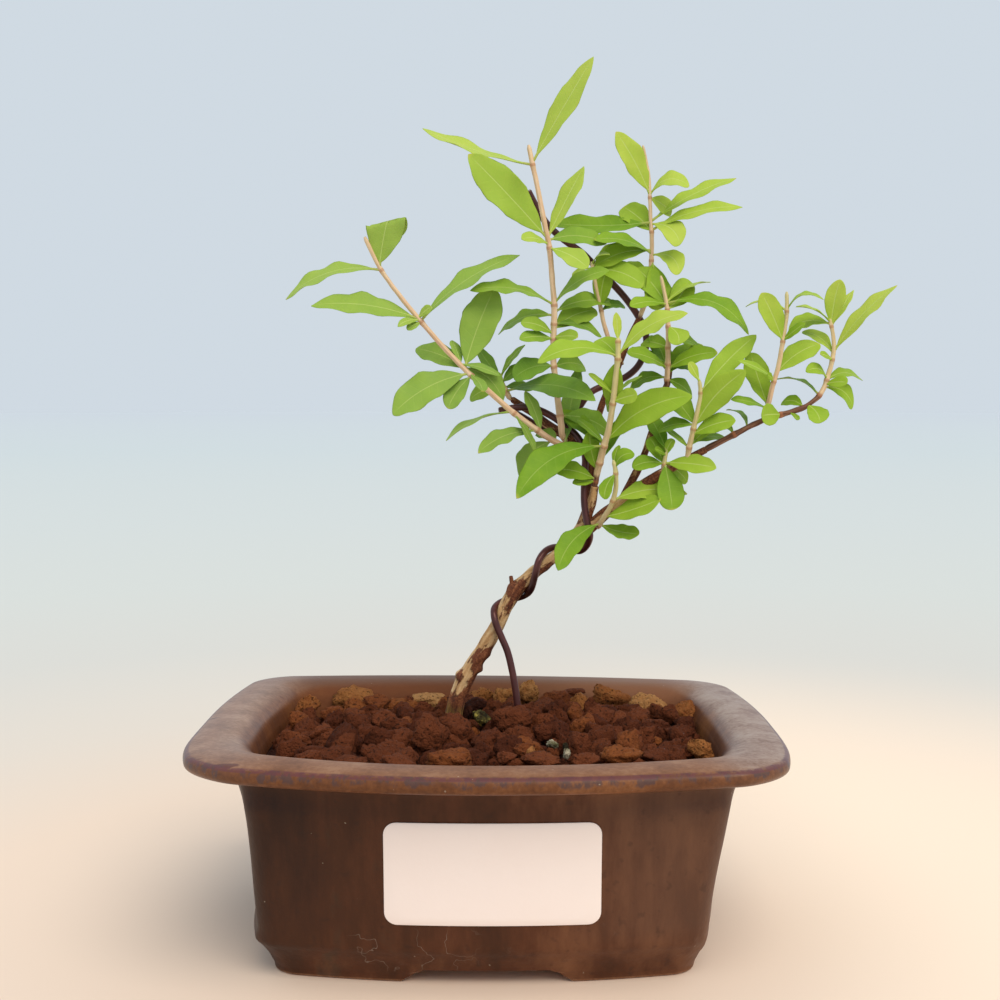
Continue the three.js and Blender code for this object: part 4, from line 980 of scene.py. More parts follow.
# Leafy shoots. Each has its stem's route as [across, height, depth], its radii at root and tip,
# how green it is, how far up its length it has turned to wood, how cool and grey the green of its
# leaves is, and its leaves: [height of the node on the stem, tip across, tip height, tip's depth
# beyond the node, width, turn of the blade from edge-on at 0 to facing front at 90, rise of the
# arch, lightness from 0 for deep green to 9 for yellow-green]. The lightness is partly the leaf's
# own green and partly painted shade: leaves that lie in shade are given a deeper green. Bent
# leaves have a tip bent over backwards: [number of the leaf, start of the bend, end of the bend].
shoots = {
    "top_shoot": {
        "radii": [0.85, 0.55], "green": 0.1, "woody": 0.02, "cool": 0.3,
        "route": [
            [19.6, 120.2, 3.4], [18.9, 121.5, 1], [18.6, 124.2, 0], [17.8, 130, 1], [17.2, 135, 1.5],
            [16.6, 140, 1], [16.6, 146, 0], [16.8, 154, -1], [16.3, 160, -1.5], [15.6, 168, -2],
            [13.8, 177, -3], [12, 186, -3.5], [11, 190.5, -4], [10.2, 194.3, -4],
        ],
        "leaves": [
            [189.8, 26.5, 216.15, -3, 5.8, 68, 0.5, 8], [189.4, -16.5, 198.4, 4, 7, 24, -1.2, 8],
            [171, -5, 192, -4, 9.5, 80, 0.5, 6], [171, 24.2, 189, 5, 5.6, 54, -0.3, 8],
            [169.5, 8.5, 170.8, -6, 4.5, 40, 0.8, 7], [168.6, 25.3, 163.6, -6, 6, 55, 0.6, 7],
            [154.2, -4.6, 157.9, -4, 7, 26, 2.4, 4], [154.6, 30.6, 163, -4, 6.5, 30, 1.6, 4],
            [151.6, 2.6, 146.8, 8, 6, 35, 1.8, 4], [152.4, 33, 154.4, 8, 6, 45, 1.6, 4],
            [146.8, 8.3, 149.8, -3, 4.5, 50, 0.8, 5], [145.6, 8, 145.6, -5, 4.5, 45, 0.8, 4],
            [146, 22.8, 146.2, -4, 4, 55, 0.3, 5], [149.4, 28.8, 146.2, 3, 5, 30, 1.5, 3],
            [138.8, 6.5, 135.6, -2, 7, 55, 1.5, 2], [138.6, 24.5, 138.6, 6, 6, 60, 1, 3],
            [126, 31.2, 121.6, 4, 6.5, 55, 1.8, 3], [170.5, 30, 169.8, 6, 6, 58, 1.2, 3],
            [148, 27.4, 153, 6, 7, 62, 0.8, 5],
        ],
    },
    "left_shoot": {
        "radii": [0.8, 0.5], "green": 0.12, "woody": 0.04, "cool": 0.65,
        "route": [
            [22.4, 118.8, 3.2], [20.2, 118.4, 1], [17, 119.6, -0.6], [13.5, 121.8, -1.8],
            [9.5, 124.6, -2.5], [5.5, 127.7, -3], [0, 132.5, -4], [-6, 138, -5], [-11.5, 143.7, -6],
            [-17, 150, -7], [-22, 156, -8], [-27.2, 163.2, -9], [-31.3, 171.4, -10],
        ],
        "leaves": [
            [163.8, -24, 180.5, -3, 9.8, 80, 0.9, 6], [163, -51.4, 155.6, 4, 7, 32, 3.4, 6],
            [150.6, -45, 154, -4, 7.5, 48, 2.4, 5], [150.2, 8, 166.8, 6, 7.5, 34, 2.2, 4],
            [151, -14.4, 153.8, -2, 2.6, 60, 0.2, 6], [150, -20.6, 148, -2, 2.4, 60, 0.2, 5],
            [150.4, -23, 148.8, -4, 2.4, 55, 0.6, 6], [138, 1.6, 158.3, 4, 9.6, 84, 0.7, 4],
            [136.9, -24.4, 126.4, -5, 9, 64, 2.2, 4], [136.4, -10.3, 128, -4, 5.5, 62, 0.4, 3],
            [137.9, -18.4, 143.2, 5, 6.5, 58, 0.8, 3], [139, -9.2, 145.3, 4, 3.5, 40, 0.3, 4],
            [138.4, 3.8, 129.9, 4, 6, 62, 1.6, 3], [139.2, 3.1, 136.2, 2, 3.4, 35, 0.8, 3],
            [136.8, -1.4, 132.3, -6, 4, 40, 0.4, 3], [127.2, -10.8, 119.8, -5, 5.5, 10, 1.6, 4],
            [126.8, 12, 116.8, -3, 4, 28, 0.4, 3], [122.4, -2.6, 116.6, -6, 6, 38, 1.4, 4],
            [119.8, 8.6, 109.4, 3, 6.5, 60, 2.2, 3], [118.6, 23.3, 138.8, 6, 5, 72, 0.3, 2],
            [121.8, 9.4, 132.4, 3, 4.2, 50, 0.3, 4], [119.4, 12.8, 121.9, 5, 4.6, 50, 0.6, 4],
        ],
        "bent": [[0, [-30.1, 174.8, -12.5], [-20.9, 176.5, -12.5]]],
    },
    "left_end_shoot": {
        "radii": [0.7, 0.5], "green": 0.5, "woody": 0, "cool": 0.4,
        "route": [[5, 131.6, 6.8], [3.7, 134, 6.4], [2.8, 137, 5.6]],
        "leaves": [
            [132.4, 27.4, 130, -18, 8, 42, 2.4, 2], [136, 9.4, 144.2, -1, 3.6, 30, 0.4, 4],
            [135.8, -2.6, 143.4, 2, 4.6, 45, -0.4, 2], [134.6, 9, 138.4, -2, 4.4, 50, 0.6, 2],
            [133, -4.7, 130.2, 1, 5, 55, 1.2, 5], [133.4, 11.4, 133, 3, 3.6, 45, 0.6, 2],
        ],
    },
    "front_shoot": {
        "radii": [0.9, 0.6], "green": 0.62, "woody": 0.1, "cool": 0.1,
        "route": [
            [27.3, 108.8, -1], [28.1, 112.5, -2], [29.5, 118, -4], [30.6, 122, -5.5], [31.8, 129, -8],
            [32.4, 135, -9.5], [33, 141, -11], [33.1, 146, -11.5],
        ],
        "leaves": [
            [145, 32.5, 152.4, -0.3, 2.6, 60, 0, 9], [141.2, 12.6, 139.6, -5, 8, 34, 2.8, 6],
            [141.4, 50.7, 152.2, -5, 7, 38, 2, 8], [141, 28.2, 145.6, 5, 6, 60, 0.6, 5],
            [131.6, 25.6, 136.9, -2, 3.2, 28, 0, 6], [131.2, 39.2, 136.3, 2, 3, 12, 0.4, 5],
            [129.8, 38, 131.6, -4, 4.2, 70, 0.3, 6], [129.2, 30.2, 128.6, 4, 3.6, 70, 0.2, 4],
            [118.4, 7.2, 105, -12, 8.5, 55, 3.6, 2.5], [118.8, 52, 131.3, -8, 8.5, 62, 3.2, 5],
            [119, 22.6, 125.4, 3, 4.4, 30, 0.3, 3], [112, 25.8, 122.2, -1.4, 5.2, 68, -0.4, 3],
            [109.8, 16.9, 112.2, -5, 5.6, 52, 0.8, 4], [109.4, 21.6, 108.9, -3, 2.8, 50, 0.3, 4],
            [140.6, 31.4, 129.6, 4, 5.4, 70, 0.3, 5], [118.5, 17.8, 127.6, 8, 5, 58, 0.6, 3],
            [114, 35.5, 126.5, 3, 4, 60, 0.2, 2],
        ],
    },
    "lower_shoot": {
        "radii": [0.75, 0.5], "green": 0.7, "woody": 0, "cool": 0.1,
        "route": [
            [28.4, 98, -1], [28.7, 98.6, -2.6], [29.7, 100.2, -4.4], [31.6, 103.4, -6.2],
            [32.7, 107.8, -7.5], [32.6, 112, -8.5], [32, 114.8, -9],
        ],
        "leaves": [
            [98.6, 17.9, 86.4, -9, 6.3, 62, 1.8, 3], [98.4, 38.8, 95.9, -2, 5.5, 38, -1, 4],
            [100.2, 44.2, 104.8, -5, 6.5, 46, -0.6, 5], [104.4, 51, 106.2, 4, 7, 46, 1.8, 6],
            [111.4, 29.8, 104.8, -2, 3.8, 55, 0.6, 4], [112.6, 37.3, 116.6, -2, 4, 50, 1.2, 3],
            [113.8, 33.4, 118.6, 3, 2.6, 40, 0.2, 4],
        ],
    },
    "middle_shoot": {
        "radii": [0.65, 0.45], "green": 0.3, "woody": 0, "cool": 0.1,
        "route": [
            [33.5, 140.3, 8.1], [32.4, 141.7, 6.8], [31.2, 144, 5.6], [30.2, 147, 5], [29.3, 150, 5],
            [28.7, 153, 5], [27.6, 158, 4.5], [26.6, 163, 4], [26.2, 165.2, 4],
        ],
        "leaves": [
            [164, 36.8, 167.8, 2, 6, 55, 1.2, 7], [163, 39.4, 159, -3, 7, 62, 1.8, 5],
            [163.4, 21.8, 160.6, -3, 3.6, 25, 1.2, 7], [164.4, 30.8, 166.9, -3, 3, 14, 1.2, 7],
            [153.6, 30, 162.8, -2, 5.5, 68, 0.4, 5], [152.8, 34.8, 153.6, 0, 5, 32, 1, 2],
        ],
    },
    "back_shoot": {
        "radii": [0.65, 0.35], "green": 0.2, "woody": 0.02, "cool": 0.1,
        "route": [
            [38.9, 152.2, 8], [40.2, 156, 7], [41, 161, 6.2], [41.4, 166, 6], [41.4, 172.5, 5],
            [41.1, 176, 5], [40.9, 181, 4.5], [40.5, 187, 4], [39, 194.2, 3],
        ],
        "leaves": [
            [182, 32.2, 197.6, -4, 6.4, 76, 0.4, 8], [181.8, 50.8, 184.2, -4, 6, 42, 2.8, 8],
            [181.2, 46.4, 177.4, 3, 5.4, 62, 0.4, 8], [175.2, 62.6, 186, 5, 6, 34, 1.6, 7],
            [174.6, 48.6, 169.4, -5, 6.5, 66, 1.8, 8], [172.6, 34.2, 178.8, 5, 7, 74, 0.4, 6],
            [175, 15.6, 174.8, 6, 7.5, 48, -0.8, 3], [167.2, 26.8, 170.6, -5, 6.5, 34, 1.8, 3],
            [166.8, 48.6, 162.2, -4, 6, 58, 2.2, 8], [165.4, 42.6, 153, -4, 7.5, 70, 0.6, 5],
            [173, 64.3, 178.8, -2, 5.8, 34, 2, 7], [161.6, 33, 163.6, 5, 5, 55, 0.8, 6],
            [168, 27.2, 164.2, -2, 6.2, 50, 1.4, 5],
        ],
    },
    "inner_shoot": {
        "radii": [0.7, 0.4], "green": 0.25, "woody": 0.08, "cool": 0.1,
        "route": [
            [45.5, 134.6, 3.4], [45.7, 138, 2.2], [45.8, 144.5, 1.5], [45.7, 150, 1], [45.4, 154, 1],
            [44.6, 158, 1], [43.8, 161.6, 0.5],
        ],
        "leaves": [
            [154.4, 36, 154, -4, 5, 34, 0.8, 4], [154.6, 66.3, 146.8, -4, 7.5, 40, 4.2, 3],
            [154.8, 56.4, 160, 4, 5, 18, 1.4, 7], [153, 50.8, 160.6, 5, 6, 72, -0.4, 6],
            [148.8, 48.4, 144.2, -4, 6, 68, 1, 6], [138.2, 35.4, 142.2, -4, 6, 38, 0.8, 4],
            [139.2, 36.6, 143.6, 5, 4.4, 20, 0.4, 3], [138, 58.4, 142.2, -3, 6.5, 44, 1, 4],
            [138.6, 52, 138.2, 4, 4, 40, 0.5, 2], [145.2, 54, 143.4, 4, 5, 36, 1, 4],
            [143.4, 39.6, 145, 6, 5.6, 50, 0.4, 4], [135.8, 35.8, 132, 5, 5.6, 34, 1.8, 3],
            [135.4, 52, 130.8, 4, 5, 50, 1, 3], [154, 37.6, 163.6, 4, 7, 74, 0.3, 4],
            [137, 41.6, 146.6, 6, 6, 60, 0.4, 3], [136.5, 54.5, 144.2, 8, 6, 55, 1, 4],
        ],
    },
    "right_cluster": {
        "radii": [0.6, 0.4], "green": 0.8, "woody": 0, "cool": 0.1,
        "route": [[45, 113.4, -4.4], [45.2, 115, -5], [45.8, 117.4, -5.5]],
        "leaves": [
            [113.8, 41.2, 120.6, 1, 5, 66, 0.3, 3], [113.8, 36.9, 112.9, -3, 4.6, 52, 0.8, 3],
            [114, 47.2, 102, -5, 7, 80, 0.6, 3], [114.2, 51, 109.2, 4, 4.5, 55, 0.6, 4],
            [114, 58.4, 112.8, -7, 5.5, 52, 0.8, 6], [116, 47.4, 120.2, -1, 2.8, 50, 0.2, 5],
            [116, 42.6, 117.6, -3, 2.4, 40, 0.2, 3], [117, 40.2, 127.4, 6, 4.6, 66, 0.3, 2],
        ],
    },
    "right_front_shoot": {
        "radii": [0.7, 0.45], "green": 0.75, "woody": 0, "cool": 0.1,
        "route": [
            [51.2, 116.4, -6.6], [51.6, 119, -7.5], [52.6, 123.5, -9], [53.6, 128, -10],
            [54.2, 131.5, -10.5], [53.8, 135.4, -11],
        ],
        "leaves": [
            [135, 51.2, 139.8, -1, 2.8, 60, 0, 8], [132, 68.2, 146.7, 4, 6.2, 64, 0.6, 6],
            [122.8, 65.6, 137.8, -6, 6.8, 78, 0.8, 6], [121.2, 63.2, 125, -5, 5.5, 52, 0.8, 5],
            [118.4, 57.2, 123.8, 3, 3.6, 45, 0.3, 5], [119.2, 61, 120.4, 6, 4.6, 34, 0.8, 4],
            [123.8, 43.4, 122.3, 4, 5.5, 34, 0.8, 3], [124, 47.2, 131.2, 4, 6, 62, 0.2, 3],
            [118, 44.6, 123.4, 2, 3, 34, 0.2, 4],
        ],
    },
    "right_shoot": {
        "radii": [0.95, 0.45], "green": 0.3, "woody": 0.62, "cool": 0.1,
        "route": [
            [56.5, 118, -6.6], [61, 120.4, -7.5], [66, 123.1, -8], [70.5, 125.1, -8],
            [76, 126.8, -7.5], [80, 128.1, -7], [83.8, 130.6, -6.5], [85.6, 133.2, -6],
            [86.6, 136.2, -6], [87.7, 140.6, -6], [88, 144, -6], [87.5, 148, -6], [86.7, 151.2, -6],
        ],
        "leaves": [
            [148.8, 89.3, 160.7, -2, 5, 76, 0.3, 8], [150, 78.2, 153.8, -3, 4, 16, 1.2, 7],
            [149.4, 76.4, 148, 3, 6, 38, 1.4, 6], [149, 92.8, 158, 4, 3, 40, 0.3, 8],
            [142.2, 103.8, 159.2, -4, 5.4, 36, 1.4, 9], [142, 80, 147.6, 4, 5, 45, 1, 7],
            [140.4, 84.6, 141.8, -4, 2.6, 45, 0.2, 6], [135.2, 95.3, 135.2, 4, 5, 28, 1.8, 5],
            [134.2, 91.6, 134.6, -4, 4, 45, 0.4, 5], [133.4, 93.1, 128.4, 2, 5.5, 50, 1.6, 5],
            [135.4, 81, 137.4, -4, 4, 45, 1.8, 5], [131.4, 73.4, 135.4, 6, 4.5, 14, 1.8, 3],
            [129, 84.8, 124.3, -4, 6, 66, 0.6, 5], [128.4, 75, 129.6, 4, 4, 50, 0.8, 4],
            [127.2, 78.9, 125.1, -2, 3, 40, 0.2, 4], [126.4, 69.8, 126.2, -6, 5.6, 78, 0.4, 5],
            [123.2, 60.9, 127.6, 4, 4, 22, 1.6, 3], [121.4, 57.4, 124.6, 4, 3.6, 30, 0.8, 3],
        ],
    },
    "right_upper_shoot": {
        "radii": [0.65, 0.45], "green": 0.45, "woody": 0, "cool": 0.1,
        "route": [
            [71, 126.8, -8.4], [71.6, 129.5, -9], [72.6, 134, -10], [74, 139, -10.5], [74.8, 144, -11],
            [75.4, 148, -11], [75.9, 152.5, -11], [75.8, 157.6, -11],
        ],
        "leaves": [
            [145, 69.4, 157.3, -3, 6, 74, 0.3, 7], [152.6, 65.4, 153.8, 3, 4.2, 16, 2, 8],
            [153, 85.2, 155.6, -3, 4.2, 14, 2.6, 6], [145.2, 80.6, 149.6, -4, 3.4, 35, 0.3, 4],
            [136.8, 84.4, 144.4, 4, 6, 60, 1.2, 6], [134.8, 71.2, 136.6, -2, 2.2, 50, 0.1, 4],
            [128.6, 66.8, 142.2, 3, 6.6, 70, -0.4, 5], [135.4, 63.6, 140.1, -4, 3.4, 35, 0.4, 5],
            [128, 62, 130.3, -4, 3.8, 28, 0.6, 3],
        ],
    },
}
# Lengths are millimetres. A blade grows blunt over bluntSpan of its width per length, from
# bluntFrom on, and each power is [on a narrow leaf, how much less on a blunt one]. Leaves as long
# as fullLength wave fully.
leaf = {
    "stations": 30, "sides": 18, "petiole": 0.34, "petioleShare": 0.06, "leastHalf": 0.05,
    "thick": 0.24, "fold": 0.17, "foldPower": 1.4, "wave": 0.075, "waveBeats": [1.6, 3.2],
    "ripple": 0.042, "rippleBeats": [2.6, 4.6], "bluntFrom": 0.24, "bluntSpan": 0.25,
    "basePower": [0.98, 0.1], "tipPower": [0.84, 0.28], "fullLength": 20, "twist": 0.3,
    "sway": 0.035, "rib": 0.16, "ribWidth": 0.3, "tone": [0.06, 0.105], "toneSpread": 0.03,
    "bendBack": [0.9, 2.4],
}


def nodePlace(route, height):
    # The place on a stem at a height, in straight stretches between the route's places.
    i = 0
    while i < len(route) - 2 and route[i + 1][1] < height:
        i += 1
    t = np.clip((height - route[i][1]) / (route[i + 1][1] - route[i][1]), 0, 1)
    return np.array(route[i]) * (1 - t) + np.array(route[i + 1]) * t


def bladeShape(width, length, s):
    # Half the width at each share s of the blade: s^a (1 - s)^b, as a share of its greatest value,
    # with blunter tips on broad leaves. It passes into the petiole, which is round.
    blunt = np.clip((width / length - leaf["bluntFrom"]) / leaf["bluntSpan"], 0, 1.5)[:, None]
    a, b = (most - less * blunt for most, less in (leaf["basePower"], leaf["tipPower"]))
    shape = s ** a * (1 - s) ** b / ((a / (a + b)) ** a * (b / (a + b)) ** b)
    stalk = leaf["petiole"] * (1 - smoothStep(0, 0.5, s))
    half = np.maximum(width[:, None] / 2 * shape, stalk)
    return np.maximum(half, leaf["leastHalf"]), blunt


def leafSurface(base, tip, width, turn, arch, seed):
    # Flat oval rings from node to tip. The middle line is base + (tip - base) t + rise * 4 arch
    # t (1 - t), and sways by sin(pi t). Each margin is moved by two sines. The halves fold up by
    # |q|^1.4 and wave by |q|^3, with q from -1 to 1 across the blade. A rib runs under the middle.
    draw = np.random.default_rng(seed)
    count = len(base)
    length = np.linalg.norm(tip - base, axis=1)
    along = unit(tip - base)
    front = np.array([0, -1.0, 0])
    front = unit(front - along * (along @ front)[:, None])
    rise = np.cross(along, front)
    rise *= np.where(rise[:, 2] < 0, -1, 1)[:, None]
    steps = (1 - np.cos(np.linspace(0, 1, leaf["stations"] - 2) * np.pi)) / 2
    stalkShare = leaf["petioleShare"]
    t = np.concatenate([[0, 0.04], stalkShare + (1 - stalkShare) * steps])
    s = np.clip((t - stalkShare) / (1 - stalkShare), 0, 1)
    half, blunt = bladeShape(width, length, s)
    grown = length[:, None] / leaf["fullLength"]

    beats = draw.uniform(*leaf["rippleBeats"], (2, count, 1))
    phases = draw.uniform(0, 1, (2, count, 1))
    inBlade = smoothStep(0.08, 0.3, s) * smoothStep(1, 0.85, s)
    deep = leaf["ripple"] * (1 - 0.5 * blunt) * np.clip(grown, 0.3, 1.2) * inBlade
    ripple = deep * (np.sin(2 * np.pi * (s * beats + phases))
                     + 0.35 * np.sin(2 * np.pi * (s * beats * 2.3 - phases)))
    twist = draw.uniform(-leaf["twist"], leaf["twist"], (count, 1)) * (t - 0.4)
    angle = (np.radians(turn)[:, None] + twist)[..., None]
    up = rise[:, None] * np.cos(angle) + front[:, None] * np.sin(angle)
    across = np.cross(up, along[:, None])
    sway = draw.uniform(-leaf["sway"], leaf["sway"], (count, 1)) * length[:, None]
    sway = sway * np.sin(np.pi * t)
    middle = (base[:, None] + along[:, None] * (length[:, None] * t)[..., None]
              + rise[:, None] * (4 * arch[:, None] * t * (1 - t))[..., None]
              + across * sway[..., None])

    q, thick = np.cos(fullTurn(leaf["sides"])), np.sin(fullTurn(leaf["sides"]))
    beat = draw.uniform(*leaf["waveBeats"], (count, 1))
    margins = [np.sin(2 * np.pi * (s * beat + draw.uniform(0, 1, (count, 1)))) for k in range(2)]
    deep = leaf["wave"] * np.clip(grown, 0.3, 1) * half * 2 * smoothStep(0.05, 0.4, s)
    wavy = np.where(q > 0, margins[0][..., None], margins[1][..., None]) * np.abs(q) ** 3
    wavy = wavy * deep[..., None]
    beyondStalk = half - np.minimum(half, leaf["petiole"])
    fold = leaf["fold"] * beyondStalk[..., None] * np.abs(q) ** leaf["foldPower"]
    rippled = np.where(q > 0, ripple[0][..., None], ripple[1][..., None])
    lateral = q * half[..., None] * (1 + rippled * q ** 2)
    body = leaf["petiole"] + (leaf["thick"] / 2 - leaf["petiole"]) * smoothStep(0.03, 0.22, t)
    ribbed = ((1 - s) * smoothStep(0.05, 0.2, t))[:, None]
    rib = leaf["rib"] * np.exp(-(lateral / leaf["ribWidth"]) ** 2) * ribbed
    height = fold + wavy + body[:, None] * thick - np.where(thick < 0, rib, rib * 0.4)
    points = (middle[:, :, None] + across[:, :, None] * lateral[..., None]
              + up[:, :, None] * height[..., None])
    return points, lateral, s, q


def makeLeafLook():
    # Fresh green blade: the tone of each leaf chooses from deep green to yellow-green, and holds
    # painted shade as well as the leaf's own green. Over it come a paler underside, a cooler green,
    # faint side veins that run forward from the rib, the pale rib, a yellow stalk, and some yellow
    # tips.
    material, s = newMaterial("freshLeaf")
    place = s.objectPlace()
    tone = s.mark("tone")
    run = s.mark("run")
    side = abs(s.mark("side"))
    edge = abs(s.mark("edge"))
    mottle = s.noise(place, 220, 4, 0.55)
    fine = s.noise(place, 1500, 3, 0.6)
    veins = s.math("PINGPONG", run * 9 - side * 0.22 + (mottle - 0.5) * 0.4, 0.5)
    vein = s.between(veins, 0.09, 0.0) * s.between(edge, 0.95, 0.6) * s.between(run, 0.03, 0.15)
    rib = s.between(side, 0.2, 0.08) * s.between(run, 1.0, 0.75)
    tips = s.between(run, 0.95, 1.0) * s.between(s.noise(place, 60, 1), 0.52, 0.6)
    blade = s.ramp(tone + (mottle - 0.5) * 0.3 + (run - 0.5) * 0.1, [
        (0, (0.055, 0.15, 0.009)), (0.25, (0.125, 0.265, 0.01)), (0.5, (0.235, 0.39, 0.018)),
        (0.75, (0.34, 0.49, 0.042)), (1, (0.47, 0.575, 0.08))])
    colour = s.coats(blade, ((0.36, 0.48, 0.13), s.mark("under") * 0.3),
                     ((0.3, 0.42, 0.15), s.mark("cool") * 0.5), ((0.5, 0.6, 0.12), vein * 0.06),
                     ((0.55, 0.66, 0.2), rib * s.between(tone, -0.1, 0.8) * 0.55),
                     ((0.5, 0.5, 0.15), s.between(run, 0.06, 0.0) * 0.6),
                     ((0.55, 0.48, 0.09), tips * 0.6))
    s.finish({
        "Base Color": colour,
        "Roughness": 0.42 + mottle * 0.15,
        "Specular IOR Level": 0.12,
        "Subsurface Weight": 0.1,
        "Subsurface Radius": (0.0008, 0.0012, 0.0003),
        "Normal": s.bump(mottle * 0.6 + fine * 0.12 - vein * 0.12 - rib * 0.3, 0.0003, 0.6),
    })
    return material


def makeStemLook():
    # Young stem: straw pink with fine lines along it, greener at the tip, red-brown at the nodes;
    # the woody share turns it to dark bark.
    material, s = newMaterial("youngStem")
    grain = s.mark("grain", "Vector")
    lines = s.noise(s.stretch(grain, (1, 1, 0.12)), 1300, 4, 0.6)
    clouds = s.noise(s.stretch(grain, (1, 1, 0.5)), 260, 3, 0.55)
    node = s.mark("node")
    young = s.ramp(lines * 0.6 + clouds * 0.4, [
        (0.32, (0.56, 0.33, 0.19)), (0.5, (0.74, 0.5, 0.31)), (0.68, (0.84, 0.66, 0.45))])
    wood = s.ramp(lines, [
        (0.35, (0.06, 0.022, 0.014)), (0.52, (0.16, 0.06, 0.03)), (0.7, (0.33, 0.17, 0.09))])
    woody = s.between(s.mark("woody") + (clouds - 0.5) * 0.5, 0.35, 0.65)
    atNode = s.between(node + (lines - 0.5) * 0.6, 0.5, 1.0)
    s.finish({
        "Base Color": s.coats(
            young, ((0.56, 0.56, 0.2), s.between(s.mark("fresh"), 0.2, 1) * 0.7),
            (wood, woody), ((0.42, 0.15, 0.06), atNode * 0.6)),
        "Roughness": 0.48 + lines * 0.2,
        "Specular IOR Level": 0.35,
        "Normal": s.bump(lines * 0.8 + node * 0.5, 0.0003, 0.6),
    })
    return material


# Lengths are millimetres. Where the stem has turned to wood, its girth is multiplied by
# woodyGirth, and it is rougher by woodyRough.
stem = {"sides": 20, "perPlace": 16, "nodeSwell": 0.2, "nodeLength": 0.7, "nodeApart": 3.6,
        "ridge": 0.07, "rooted": 1.6, "woodyGirth": 0.82, "woodyBlend": 0.08, "freshRise": 0.6,
        "rough": 0.05, "woodyRough": 0.09, "roughLength": 1.6, "endGirth": 0.55, "endLength": 0.9}


def makeStem(name, shoot, look):
    # A tube along the route whose radius goes evenly from root to tip and swells at each leaf
    # node by a bell curve of the distance to it. Four ridges run along it, by cos(4 angle). Its
    # root is set back a little into the wood.
    route = np.array(shoot["route"], float)
    route[0] -= unit(route[1] - route[0]) * stem["rooted"]
    steps = len(route) * stem["perPlace"]
    tapered = np.linspace(*shoot["radii"], len(route))[:, None]
    radii, centres, lengths = followRoute(np.hstack([route, tapered]), steps)[1:]
    heights = []
    for height in sorted(row[0] for row in shoot["leaves"]):
        if not heights or height - heights[-1] > stem["nodeApart"]:
            heights.append(height)
    nodes = np.array([sight(*nodePlace(shoot["route"], height)) for height in heights])
    away = np.linalg.norm(centres[:, None] - nodes[None], axis=-1).min(1) * 1000
    bell = np.exp(-(away / stem["nodeLength"]) ** 2)
    share = lengths / lengths[-1]
    grain = tubeGrain(radii, lengths, stem["sides"])
    woody = smoothStep(shoot["woody"] + stem["woodyBlend"], shoot["woody"] - stem["woodyBlend"],
                       share)[:, None]
    rough = (stem["rough"] + stem["woodyRough"] * woody) * waves(
        grain * [1, 1, 0.4], stem["roughLength"] / 1000, len(name) + steps)
    ridges = stem["ridge"] * (1 - woody) * np.cos(4 * fullTurn(stem["sides"]))
    fromEnd = np.minimum(lengths, lengths[-1] - lengths)
    inner = smoothStep(0, stem["endLength"] / 1000, fromEnd)
    ends = stem["endGirth"] + (1 - stem["endGirth"]) * inner
    wide = (radii / 1000 * (1 + stem["nodeSwell"] * bell) * ends)[:, None]
    wide = wide * (1 + (stem["woodyGirth"] - 1) * woody) * (1 + rough + ridges)
    fresh = np.clip(shoot["green"] + stem["freshRise"] * (share - 0.5), 0, 1)
    addPiece(name + "_stem", tubeRings(centres, wide), look, [name], {
        "grain": grain, "node": bell[:, None], "fresh": fresh[:, None], "woody": woody})


def bendTip(points, start, end):
    # What is above the line from start to end is mirrored in it, and lies behind by a share of
    # its distance from the line and at most by a limit.
    line = unit((end - start)[[0, 2]])
    above = np.array([-line[1], 0, line[0]])
    over = np.maximum((points - start) @ above, 0)[..., None]
    share, most = leaf["bendBack"]
    return points - 2 * over * above + np.minimum(over * share, most) * [0, 1, 0]


def makeLeaves(name, shoot, seed, look):
    # All the leaves of a shoot make one piece.
    node, across, height, deeper, width, turn, arch, lightnessAndShade = np.transpose(shoot["leaves"])
    places = np.array([nodePlace(shoot["route"], at) for at in node])
    base = sight(*places.T) * 1000
    tip = sight(across, height, places[:, 2] + deeper) * 1000
    points, lateral, run, q = leafSurface(base, tip, width, turn, arch, seed)
    for k, start, end in shoot.get("bent", []):
        points[k] = bendTip(points[k], sight(*start) * 1000, sight(*end) * 1000)
    draw = np.random.default_rng(seed)
    deepest, rise = leaf["tone"]
    # Each leaf's tone is partly its own green and partly painted shade: leaves in shade were given a
    # lower lightness.
    tone = deepest + rise * lightnessAndShade + draw.uniform(-leaf["toneSpread"], leaf["toneSpread"], len(lightnessAndShade))
    addPiece(name + "_leaves", points / 1000, look, [name], {
        "tone": tone[:, None, None], "run": run[:, None], "side": lateral, "edge": q,
        "under": np.sin(fullTurn(leaf["sides"])) < -0.01, "cool": shoot["cool"]})


leafLook, stemLook = makeLeafLook(), makeStemLook()
for number, (name, shoot) in enumerate(shoots.items()):
    makeStem(name, shoot, stemLook)
    makeLeaves(name, shoot, 40 + number, leafLook)
print("shoots ready:", sum(len(shoot["leaves"]) for shoot in shoots.values()), "leaves")


# A wide plain floor, an even pale sky, and a broad warm light from the upper right front.
stage = {"floorRadius": 12, "floorRings": 40, "floorSides": 96, "skyColour": (0.63, 0.7, 0.765),
         "skyStrength": 1, "keyColour": (1, 0.87, 0.72), "keyStrength": 2.05, "keySpread": 46,
         "keyFrom": (0.32, -0.62, 0.9)}


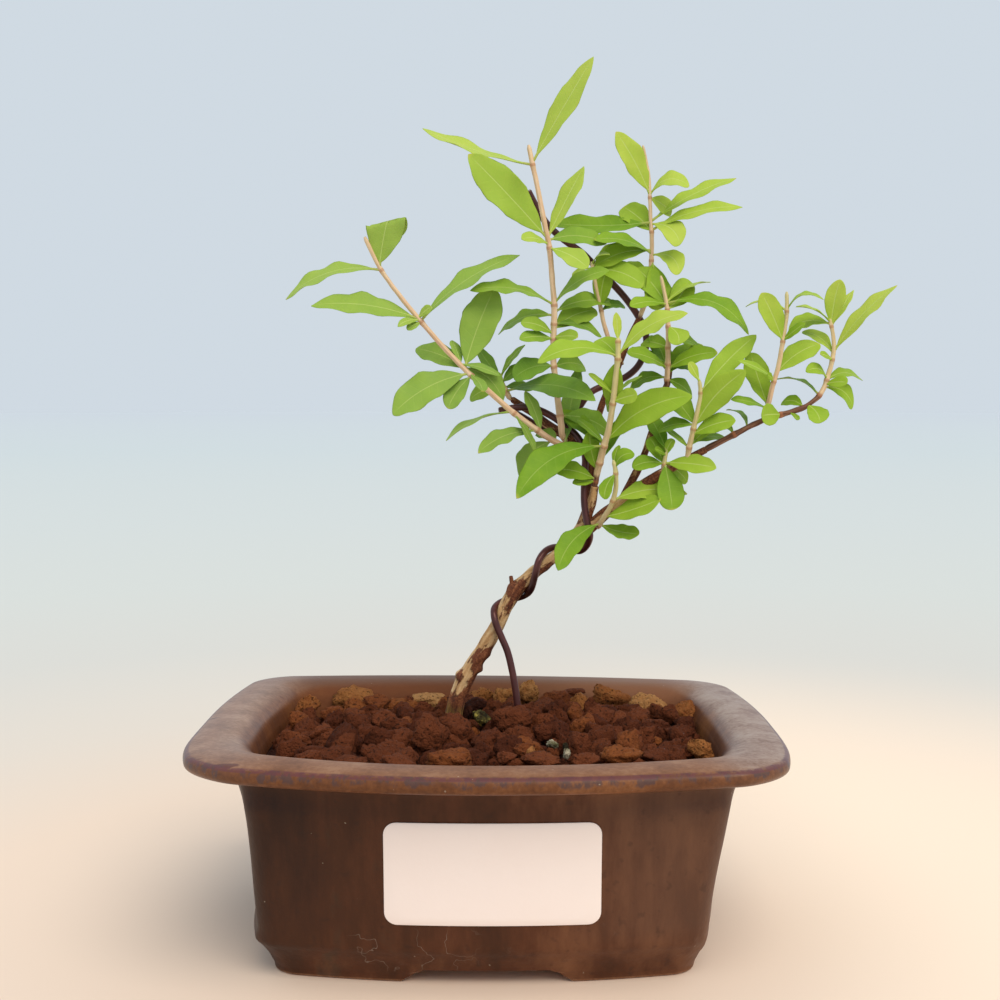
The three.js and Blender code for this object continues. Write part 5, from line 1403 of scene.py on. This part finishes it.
def makeFloor():
    # Rings whose radius grows as share^3, so the middle is fine and the rim is far away. The
    # colour is warm round the pot, paler on the right where a pool of light is painted, and turns
    # to the colour of the sky by the distance.
    material, s = newMaterial("paleFloor")
    reach = s.vector("LENGTH", (s.objectPlace(),), "Value")
    plain = s.ramp((reach * 0.1) ** 0.5, [
        (0, (0.82, 0.67, 0.55)), (0.13, (0.82, 0.67, 0.55)), (0.165, (0.72, 0.66, 0.59)),
        (0.21, (0.64, 0.64, 0.61)), (0.265, (0.62, 0.655, 0.64)), (0.35, (0.6, 0.65, 0.655)),
        (0.57, (0.563, 0.633, 0.665)), (1, (0.55, 0.612, 0.675))])
    # Painted light: a paler pool on the floor to the right of the pot, where the key light falls.
    right = s.between(s.part(s.objectPlace(), 0), 0.0, 0.12) * s.between(reach, 0.42, 0.12)
    s.finish({"Base Color": s.mix(plain, (0.95, 0.79, 0.64), right), "Roughness": 0.8,
              "Specular IOR Level": 0.1})
    rows, sides = stage["floorRings"], stage["floorSides"]
    radius = stage["floorRadius"] * np.linspace(0.02, 1, rows)[:, None] ** 3
    angle = fullTurn(sides)
    rings = np.stack([radius * np.cos(angle), radius * np.sin(angle), 0 * radius * angle], -1)
    quads, ends = gridFaces(rows, sides, 1)
    mesh = makeMesh("floor", rings, [quads[:, ::-1], ends[:1, ::-1]])
    mesh.materials.append(material)
    addObject("floor", mesh)


def makeLights():
    # The sky is one even colour, and the broad light shines from its place towards the pot.
    world = bpy.data.worlds.new("sky")
    bpy.context.scene.world = world
    world.use_nodes = True
    background = world.node_tree.nodes["Background"]
    background.inputs[0].default_value = (*stage["skyColour"], 1)
    background.inputs[1].default_value = stage["skyStrength"]
    data = bpy.data.lights.new("key", "SUN")
    data.energy, data.color = stage["keyStrength"], stage["keyColour"]
    data.angle = np.radians(stage["keySpread"])
    x, y, z = stage["keyFrom"]
    turned = (np.arctan2(np.hypot(x, y), z), 0, np.arctan2(x, -y))
    addObject("key", data).rotation_euler = turned


makeFloor()
makeLights()
print("stage ready")
